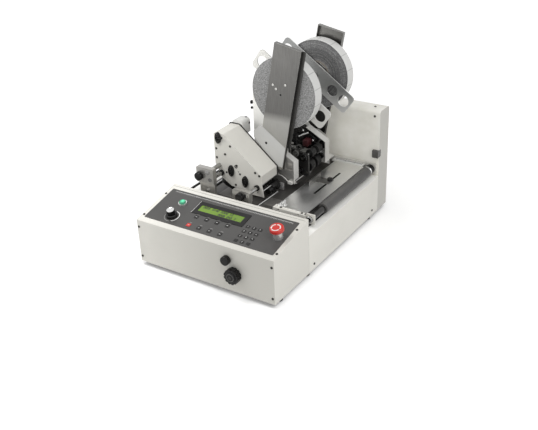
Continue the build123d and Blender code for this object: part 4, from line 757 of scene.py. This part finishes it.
def layOut(mesh, tree, template, finish, place, **sizes):
    # template: a bmesh round its own origin, repeated by the tree and added to mesh at place
    data = bpy.data.meshes.new("template")
    bmesh.ops.recalc_face_normals(template, faces=template.faces)
    template.to_mesh(data)
    template.free()
    shape = addObject("template", data)
    host = addObject("layout", bpy.data.meshes.new("layout"))
    layout = host.modifiers.new("layout", "NODES")
    layout.node_group = tree
    values = {**sizes, "Template": shape, "Finish": finishes[finish]}
    for item in tree.interface.items_tree:
        if item.in_out == "INPUT":
            layout[item.identifier] = values[item.name]
    takeMesh(mesh, host, place)
    for made in (shape, host):
        bpy.data.objects.remove(made)


def layGrid(mesh, template, finish, place, reach, count):
    layOut(mesh, gridLayout, template, finish, place, Width=reach[0] * mm, Height=reach[1] * mm,
           Columns=count[0], Rows=count[1])


# Control panel

speedKnob = Vector(joints["speed_knob_turn"]["pos_m"])
panelOut = Vector(joints["speed_knob_turn"]["axis"])


def findPanel():
    # x across, y up the slope from the console's front edge, z out of the panel
    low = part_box("console_housing")[0]
    front = speedKnob.z + (speedKnob.y - low.y) * panelOut.y / panelOut.z
    across = Vector((1, 0, 0))
    turned = Matrix((across, panelOut.cross(across), panelOut)).transposed().to_4x4()
    return Matrix.Translation((0, low.y, front)) @ turned


panel = findPanel()
panelTurn = panel.to_3x3().to_4x4()
film = 0.8               # how far the overlay stands off the sheet


def onPanel(x, v, rise=0):
    return panel @ Matrix.Translation(Vector((x, v, rise)) * mm)


def panelPlace(point):
    return panel.inverted() @ Vector(point) / mm


def standsOut(node, origin):
    # how far a node reaches out of the panel, from a point
    return max((vert.co - origin).dot(panelOut) for vert in frame["nodes"][node].data.vertices) / mm


def addStrip(mesh, size, depth, place=Matrix(), bevel=None):
    wide, tall = size
    bevelBox(mesh, (-wide / 2, -tall / 2, 0), (wide / 2, tall / 2, depth), bevel or depth / 4, place)
    return mesh


panelPrint = {
    "depth": 0.06,
    "lineUp": 154, "lineSize": (408, 0.9),
    "seamUp": 175.5, "seamSize": (462, 0.9),
    "tickUp": 151, "tickSize": (1.5, 2.2), "tickReach": (408, 0), "ticks": (86, 1),
    # radii and angles of the marks round the speed knob
    "arc": (21.2, 23.6, -62, 88), "faintArc": (21.7, 23.3, 108, 282),
    "dashUp": 11.5, "dashSize": (9, 1.5),
    "frameLine": (0.64, 1.6),
}
functionKeys = {
    "rows": ((-17, 74.9, 108, 4), (1, 36.4, 72, 3)), "stop": (-71, 36.4),
    "middle": (-17, 55.65), "reach": (108, 38.5), "count": (4, 2),
    "size": (12.6, 12.6), "corner": 1.8, "seat": 1.4, "rise": 0.5, "top": 2.1,
    "mark": (5.2, 1.2), "markBevel": 0.01,
}
numberKeys = {
    "middle": (114, 63), "reach": (40, 61.5), "pitch": (20, 20.5), "count": (3, 4),
    "size": (11.8, 9.8), "corner": 1.5, "seat": 1.4, "rise": 0.5, "top": 2.1,
    "digits": ("123", "456", "789", " 0 "), "digitSize": 6.4,
}


def addPanelPrint():
    values, keys = panelPrint, functionKeys
    depth = values["depth"]
    knob = panelPlace(speedKnob)
    white = addStrip(bmesh.new(), values["lineSize"], depth, onPanel(0, values["lineUp"], film))
    prism(white, arcOutline(*values["arc"]), film, film + depth, onPanel(knob.x, knob.y))
    corner, far = (panelPlace(end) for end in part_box("display_unit"))
    near, edge = values["frameLine"]
    bevelBox(white, (corner.x + near, corner.y + edge, 0), (corner.x + edge, far.y - edge, depth), depth / 4,
             onPanel(0, 0, standsOut("display_unit", panel.translation)))
    piece("panelLines", white, "base", "printWhite", "overlay_film")
    seam = addStrip(bmesh.new(), values["seamSize"], depth, onPanel(0, values["seamUp"]))
    piece("ledgeSeam", seam, "base", "latchPlastic", "body_paint")

    grey = bmesh.new()
    prism(grey, arcOutline(*values["faintArc"]), film, film + depth, onPanel(knob.x, knob.y))
    tick = addStrip(bmesh.new(), values["tickSize"], depth)
    layGrid(grey, tick, "printGrey", onPanel(0, values["tickUp"], film), values["tickReach"], values["ticks"])
    dash = addStrip(bmesh.new(), values["dashSize"], depth)
    x, v = keys["middle"]
    layGrid(grey, dash, "printGrey", onPanel(x, v + values["dashUp"], film), keys["reach"], keys["count"])
    piece("panelMarks", grey, "base", "printGrey", "overlay_film")


keyCrown = {"inset": 0.55, "rise": 0.4}      # shares of the key's corner and rise


def keyCap(values):
    cap = bmesh.new()
    corner, rise = values["corner"], values["rise"]
    prism(cap, roundedOutline(*values["size"], corner), 0, rise)
    crown = [face for face in cap.faces if len(face.verts) > 4 and face.calc_center_median().z > rise * mm / 2]
    bmesh.ops.inset_region(cap, faces=crown, thickness=corner * keyCrown["inset"] * mm,
                           depth=rise * keyCrown["rise"] * mm)
    return cap


def addKeys():
    keys, pad = functionKeys, numberKeys
    black = bmesh.new()
    for x, v, reach, count in keys["rows"]:
        layGrid(black, keyCap(keys), "keyFilm", onPanel(x, v, keys["seat"]), (reach, 0), (count, 1))
    layGrid(black, keyCap(pad), "keyFilm", onPanel(*pad["middle"], pad["seat"]), pad["reach"], pad["count"])
    piece("membraneKeys", black, "base", "keyFilm", "overlay_film")

    red = keyCap(keys)
    bmesh.ops.transform(red, matrix=onPanel(*keys["stop"], keys["seat"]), verts=red.verts)
    piece("stopKey", red, "base", "redPlastic", "red_plastic")

    marks = bmesh.new()
    depth = panelPrint["depth"]
    x, v = pad["middle"][0] - pad["reach"][0] / 2, pad["middle"][1] + pad["reach"][1] / 2
    for row, digits in enumerate(pad["digits"]):
        for column, digit in enumerate(digits):
            if digit != " ":
                place = onPanel(x + column * pad["pitch"][0], v - row * pad["pitch"][1], pad["top"])
                addWords(marks, digit, pad["digitSize"], depth, place)
    bar = addStrip(bmesh.new(), keys["mark"], depth, bevel=keys["markBevel"])
    layGrid(marks, bar, "printWhite", onPanel(*keys["middle"], keys["top"]), keys["reach"], keys["count"])
    piece("keyMarks", marks, "base", "printWhite", "overlay_film")


displayText = {"rows": (("0025  0140  0300  12", -14, 6.6), ("0008  045  7", 24, -6.6)), "size": 12,
               "depth": 0.05, "bold": 0.45}


def addDisplayText():
    values = displayText
    low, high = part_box("display_glass")
    middle = panelPlace((low + high) / 2)
    top = standsOut("display_glass", panel.translation)
    words = bmesh.new()
    for line, x, v in values["rows"]:
        addWords(words, line, values["size"], values["depth"], onPanel(middle.x + x, middle.y + v, top),
                 values["bold"])
    piece("displayDigits", words, "base", "displayInk", "display_window")


stopArrows = {"inner": 10.8, "outer": 14, "count": 3, "sweep": 84, "steps": 12, "head": 5.4, "depth": 0.25}


def addStopArrows():
    values = stopArrows
    low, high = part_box("estop_head")
    middle = (low + high) / 2
    place = Matrix.Translation(middle + panelOut * standsOut("estop_head", middle) * mm) @ panelTurn
    arc = arcOutline(values["inner"], values["outer"], 0, values["sweep"], values["steps"])
    mean, half = (values["inner"] + values["outer"]) / 2, values["head"] / 2
    end = math.radians(values["sweep"])
    head = [(radius * math.cos(turn), radius * math.sin(turn)) for radius, turn in (
        (mean + half, end), (mean, end + values["head"] / mean), (mean - half, end))]
    white = bmesh.new()
    for i in range(values["count"]):
        turned = place @ Matrix.Rotation(2 * math.pi * i / values["count"], 4, "Z")
        for outline in (arc, head):
            prism(white, outline, 0, values["depth"], turned)
    piece("stopArrows", white, "estop", "printWhite", "red_plastic")


speedCap = {
    "profile": ((0, -0.1), (11.2, -0.1), (11.2, 0.66), (10.8, 1.1), (10, 1.1), (9.6, 0.85), (0, 0.85)),
    "pointer": ((-0.8, 3.7, 0.85), (0.8, 9.5, 0.97), 0.03),
    "rib": ((-0.55, -0.275, -8.5), (0.55, 0.275, -1.8), 0.165), "ribRadius": 11, "ribs": 28,
}


def addSpeedKnobDetail():
    values = speedCap
    reach = standsOut("speed_knob", speedKnob) * mm
    top = Matrix.Translation(speedKnob + panelOut * reach) @ panelTurn
    cap = bmesh.new()
    lathe(cap, values["profile"], top)
    piece("speedKnobCap", cap, "speed_knob", "collarChrome", "collar_chrome")
    line = bmesh.new()
    bevelBox(line, *values["pointer"], top)
    piece("speedPointer", line, "speed_knob", "blackPlastic", "black_plastic")
    rib = bmesh.new()
    bevelBox(rib, *values["rib"])
    ribs = bmesh.new()
    layOut(ribs, ringLayout, rib, "blackPlastic", top, Radius=values["ribRadius"] * mm, Count=values["ribs"])
    piece("speedKnobRibs", ribs, "speed_knob", "blackPlastic", "black_plastic")


# Hand wheel

wheelHub = {
    "ring": ((12, -0.2), (12, 0.28), (11.2, 0.98), (10, 0.28), (10, -0.2)),
    "screw": ((0, -0.2), (4.5, -0.2), (4.5, 0.7), (4, 1.12), (0, 1.12)), "screwSides": 32,
    "hexagon": 2.475, "hexagonRise": (1.12, 1.33),
}
front = Vector((0, -1, 0))


def along(axis, centre):
    turned = Vector((0, 0, 1)).rotation_difference(axis).to_matrix().to_4x4()
    return Matrix.Translation(centre) @ turned


def addWheelHub():
    values = wheelHub
    low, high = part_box("hand_wheel")
    place = along(front, Vector(((low.x + high.x) / 2, low.y, (low.z + high.z) / 2)))
    hub = bmesh.new()
    lathe(hub, values["ring"], place, closed=True)
    piece("wheelHubRing", hub, "hand_drive", "latchPlastic", "black_plastic")
    screw = bmesh.new()
    lathe(screw, values["screw"], place, values["screwSides"])
    radius = values["hexagon"]
    hexagon = [(radius * math.cos(math.pi * i / 3), radius * math.sin(math.pi * i / 3)) for i in range(6)]
    prism(screw, hexagon, *values["hexagonRise"], place)
    piece("wheelScrew", screw, "hand_drive", "screwSteel", "screw_steel")


# Small fittings, from the middle, the console's front and the sheet metal's lower edge

benchFront, benchFoot = 332, 14
bench = Matrix.Translation((0, -benchFront * mm, benchFoot * mm))


def spot(x, y, z):
    return bench @ (Vector((x, y, z)) * mm)


def castBlock(mesh, outline, y, depth, bevel=0.8):
    # outline across and up, its back on the plane at y
    before = set(mesh.edges)
    turned = Matrix(((1, 0, 0), (0, 0, -1), (0, 1, 0))).to_4x4()
    prism(mesh, outline, 0, depth, Matrix.Translation(spot(0, y, 0)) @ turned)
    bevelEdges(mesh, [edge for edge in mesh.edges if edge not in before], bevel)


def rodBetween(mesh, first, last, radius, edge=0.3, segments=20):
    start, end = spot(*first), spot(*last)
    length = (end - start).length / mm
    lathe(mesh, [(0, 0), (radius - edge, 0), (radius, edge), (radius, length - edge), (radius - edge, length),
                 (0, length)], along(end - start, start), segments)


def collar(mesh, centre, inner, outer, length, edge=0.5, segments=32):
    edge = min(edge, (outer - inner) / 3)
    lathe(mesh, [(inner, 0), (outer - edge, 0), (outer, edge), (outer, length - edge), (outer - edge, length),
                 (inner, length)], along(front, spot(*centre)), segments, closed=True)


def addFittings(body, fittings):
    # casts: outline, back, depth and bevel; rods: both ends, radius and edge; pins: rods that run front
    # to back; collars: back, both radii and length; blocks: two corners and bevel
    for name, made in fittings.items():
        mesh = bmesh.new()
        for cast in made.get("casts", ()):
            castBlock(mesh, *cast)
        for rod in made.get("rods", ()):
            rodBetween(mesh, *rod)
        for back, end, radius, edge, places in made.get("pins", ()):
            for x, z in places:
                rodBetween(mesh, (x, back, z), (x, end, z), radius, edge)
        for ring in made.get("collars", ()):
            collar(mesh, *ring)
        for block in made.get("blocks", ()):
            bevelBox(mesh, *block, bench)
        piece(name, mesh, body, *made["look"])


frontFittings = {
    "bearingBolts": {
        "look": ("screwSteel", "screw_steel"),
        "pins": ((252.2, 250.5, 2.5, 0.4, ((-115, 308.4), (-115, 333.6), (-74, 210.4), (-74, 235.6),
                                           (-25, 185.4), (-25, 210.6))),)},
    "feederFittings": {
        "look": ("darkRubber", "black_plastic"),
        "rods": (((-115, 250.5, 321), (-98, 249.5, 325.5), 2.2),
                 ((-97, 379, 346.8), (-97, 379, 348.6), 3.4, 0.4),
                 ((-86.2, 379, 331), (-84.4, 379, 331), 3.4, 0.4)),
        "pins": ((252, 245, 3.6, 0.8, ((-98, 325.5),)),
                 # flat black discs on the housing's front stand for holes, painted shade
                 (258.2, 257.75, 3.4, 0.1, ((-43.9, 217.1), (-92.6, 213.3)))),
        "collars": (((-56.9, 258.1, 239.3), 3, 5.4, 1.2),)},
    "bearingRings": {
        "look": ("blackPlastic", "black_plastic"),
        "collars": [((x, 252.1, z), 5.4, 7.4, 1.2) for x, z in ((-115, 321), (-74, 223), (-25, 198))]},
    "feederUnderside": {
        "look": ("blackPlastic", "black_plastic"),
        "casts": ((((-112, 187), (-76, 172.2), (-44, 172.2), (-47, 167), (-72, 159), (-98, 168), (-112, 178)),
                   341.9, 83.5, 0.5),
                  (((25, 156), (40, 156), (44, 164), (44, 176), (36, 184), (25, 184)), 342.1, 39)),
        "rods": (((34, 303.3, 168), (34, 286, 168), 10, 1, 32),)},
    "feederPin": {
        "look": ("collarChrome", "collar_chrome"),
        "rods": (((35, 260, 180), (35, 303.3, 180), 1.6),),
        "blocks": (((40, 341, 153), (56, 343, 176), 0.4),)},
    "frontHeadCups": {
        "look": ("blackPlastic", "black_plastic"),
        "collars": (((85, 414.1, 238), 5.5, 12, 7), ((75, 414.1, 195), 5.5, 10, 7),
                    ((-49.5, 412.1, 259.2), 2.31, 4.2, 1.2)),
        # the flat black discs fill holes and stand for their dark insides, painted shade
        "pins": ((412.2, 411.7, 2.94, 0.1, ((-49.5, 259.2),)), (344.2, 343.85, 4, 0.1, ((-3.7, 293.6),)),
                 (345.2, 344.7, 3.3, 0.1, ((51, 452),))),
        # thumb screws on the plate's left edge
        "rods": (((-91.7, 413, 384), (-94, 413, 384), 2.6),
                 ((-94, 413, 384), (-100, 413, 384), 6, 1.2, 24),
                 ((-91.7, 413, 366), (-94, 413, 366), 2.6),
                 ((-94, 413, 366), (-100, 413, 366), 4.2, 1.2, 24))},
    # sheet on the foot of the roll channel, and the lip down the channel's right edge, dark as painted shade on
    # the channel's side
    "channelApron": {
        "look": ("apronPaint", "sheet_steel"),
        "casts": ((((-47, 305), (25, 225), (50.5, 225), (63, 288.9), (-20.4, 347.5), (-47, 326.6)),
                   345.05, 0.95, 0.2),)},
    "channelLip": {
        "look": ("lipSteel", "dark_steel"),
        "casts": ((((61.4, 286.9), (72.2, 284.8), (130.5, 582.1), (119.7, 584.2)), 358.6, 1.7, 0.3),)},
    "frontArmBolts": {
        "look": ("screwSteel", "screw_steel"),
        "pins": ((414.2, 412, 3, 0.6, ((36, 246), (52, 214), (58, 186), (94, 190))),)},
    "frontHeadStays": {
        "look": ("bracketSteel", "sheet_steel"),
        "blocks": (((49.5, 358.9, 211), (81, 360.2, 241), 0.4),
                   ((22, 408, 276), (50, 412.1, 281), 0.4),
                   ((40, 404, 240), (43.5, 408.2, 279), 0.4))},
    "frontGuideWheel": {
        "look": ("latchPlastic", "black_plastic"),
        "collars": (((58, 414.1, 246), 5.6, 10, 7),), "pins": ((414.1, 405.6, 3.4, 0.6, ((58, 246),)),)},
}
rearFittings = {
    "rearHeadCase": {
        "look": ("blackPlastic", "black_plastic"),
        "casts": ((((-50, 222), (46, 222), (64, 236), (70, 247), (70, 262), (36, 280), (0, 299), (-50, 299)),
                   536.1, 28.1),
                  (((8, 224), (34, 224), (34, 262), (20, 272), (8, 268)), 508.2, 14)),
        "collars": (((85, 536.1, 238), 5.5, 13, 9.5), ((75, 536.1, 195), 5.5, 10, 7.5))},
    "rearSolenoid": {
        "look": ("darkRedPlastic", "red_plastic"), "blocks": (((38, 484, 239), (56, 508.2, 259), 1),)},
    "rearGuideWheel": {
        "look": ("latchPlastic", "black_plastic"), "collars": (((22, 494.2, 229), 5.8, 10, 8),)},
    "rearHeadFittings": {
        "look": ("collarChrome", "collar_chrome"),
        "rods": (((24, 486, 268), (58, 486, 286), 2.2),
                 ((30, 486, 271.2), (30, 508.5, 271.2), 1.76),
                 ((86, 509, 218.3), (86, 536.2, 218.3), 1.9)),
        "blocks": (((74, 514, 216.2), (92, 536.1, 219.4), 0.5),),
        "pins": ((508.2, 505, 3.2, 0.8, ((-34, 236), (-34, 286), (28, 281), (62, 254))),)},
}
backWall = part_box("cabinet_back_panel")[1].y / mm + benchFront
baseFittings = {
    "deckFittings": {
        "look": ("collarChrome", "collar_chrome"),
        "rods": (((42, 193, 151.8), (44, 326, 151.8), 1.8),
                 ((54, 436, 151.3), (57, 500, 151.3), 1.4),
                 ((106, 240, 165), (108, 268, 165), 1.8),
                 ((96, 604, 161), (184, 604, 161), 1.5)),
        "blocks": (((50, 484, 149.9), (64, 494, 157), 0.8),
                   ((98.5, 238, 159.9), (113, 249, 163), 0.5),
                   ((101, 254, 159.9), (112, 262, 164.5), 0.5),
                   ((114, 246, 159.9), (121, 252, 162.4), 0.5),
                   *[((x - 2.5, 600.5, 159.3), (x + 2.5, 607.5, 162.7), 0.8) for x in (96, 128, 160, 184)]),
        "collars": (((214, 219.9, 150), 6.4, 10.2, 1.4),)},
    "deckPlates": {
        "look": ("deckPlate", "sheet_steel"),
        "blocks": (((48, 236, 149.9), (88, 284, 151.2), 0.5),
                   ((-106, 226, 149.9), (-46, 300, 151.2), 0.5))},
    "exitRearStrip": {
        "look": ("coverPaint", "body_paint"), "blocks": (((84, 588.6, 157), (192, 613.2, 159.6), 0.5),)},
    "exitBracketBolts": {
        "look": ("screwSteel", "screw_steel"),
        "rods": (((183.7, 231, 157.7), (183.7, 231, 160.2), 3.4, 0.7),
                 ((113, 232, 157.7), (113, 232, 160.2), 3.4, 0.7))},
    "blankPlate": {
        "look": ("bracketSteel", "sheet_steel"),
        "blocks": (((-60, backWall - 0.2, 60), (20, backWall + 0.5, 96), 0.2),)},
}
rollerFittings = {
    "exitRollerRing": {
        "look": ("collarChrome", "collar_chrome"), "collars": (((214, 587.2, 150), 10.3, 15, 6),)},
}

dressNodes()
addFittings("front_carriage", frontFittings)
addFittings("rear_carriage", rearFittings)
addFittings("base", baseFittings)
addFittings("exit_roller", rollerFittings)
print("mechanism ready")
addPanelPrint()
addKeys()
addDisplayText()
addStopArrows()
addSpeedKnobDetail()
addWheelHub()
print("panel and knobs ready")

addFloor(studio)
addLight(studio)
addCamera(cameraView)
print("studio ready")
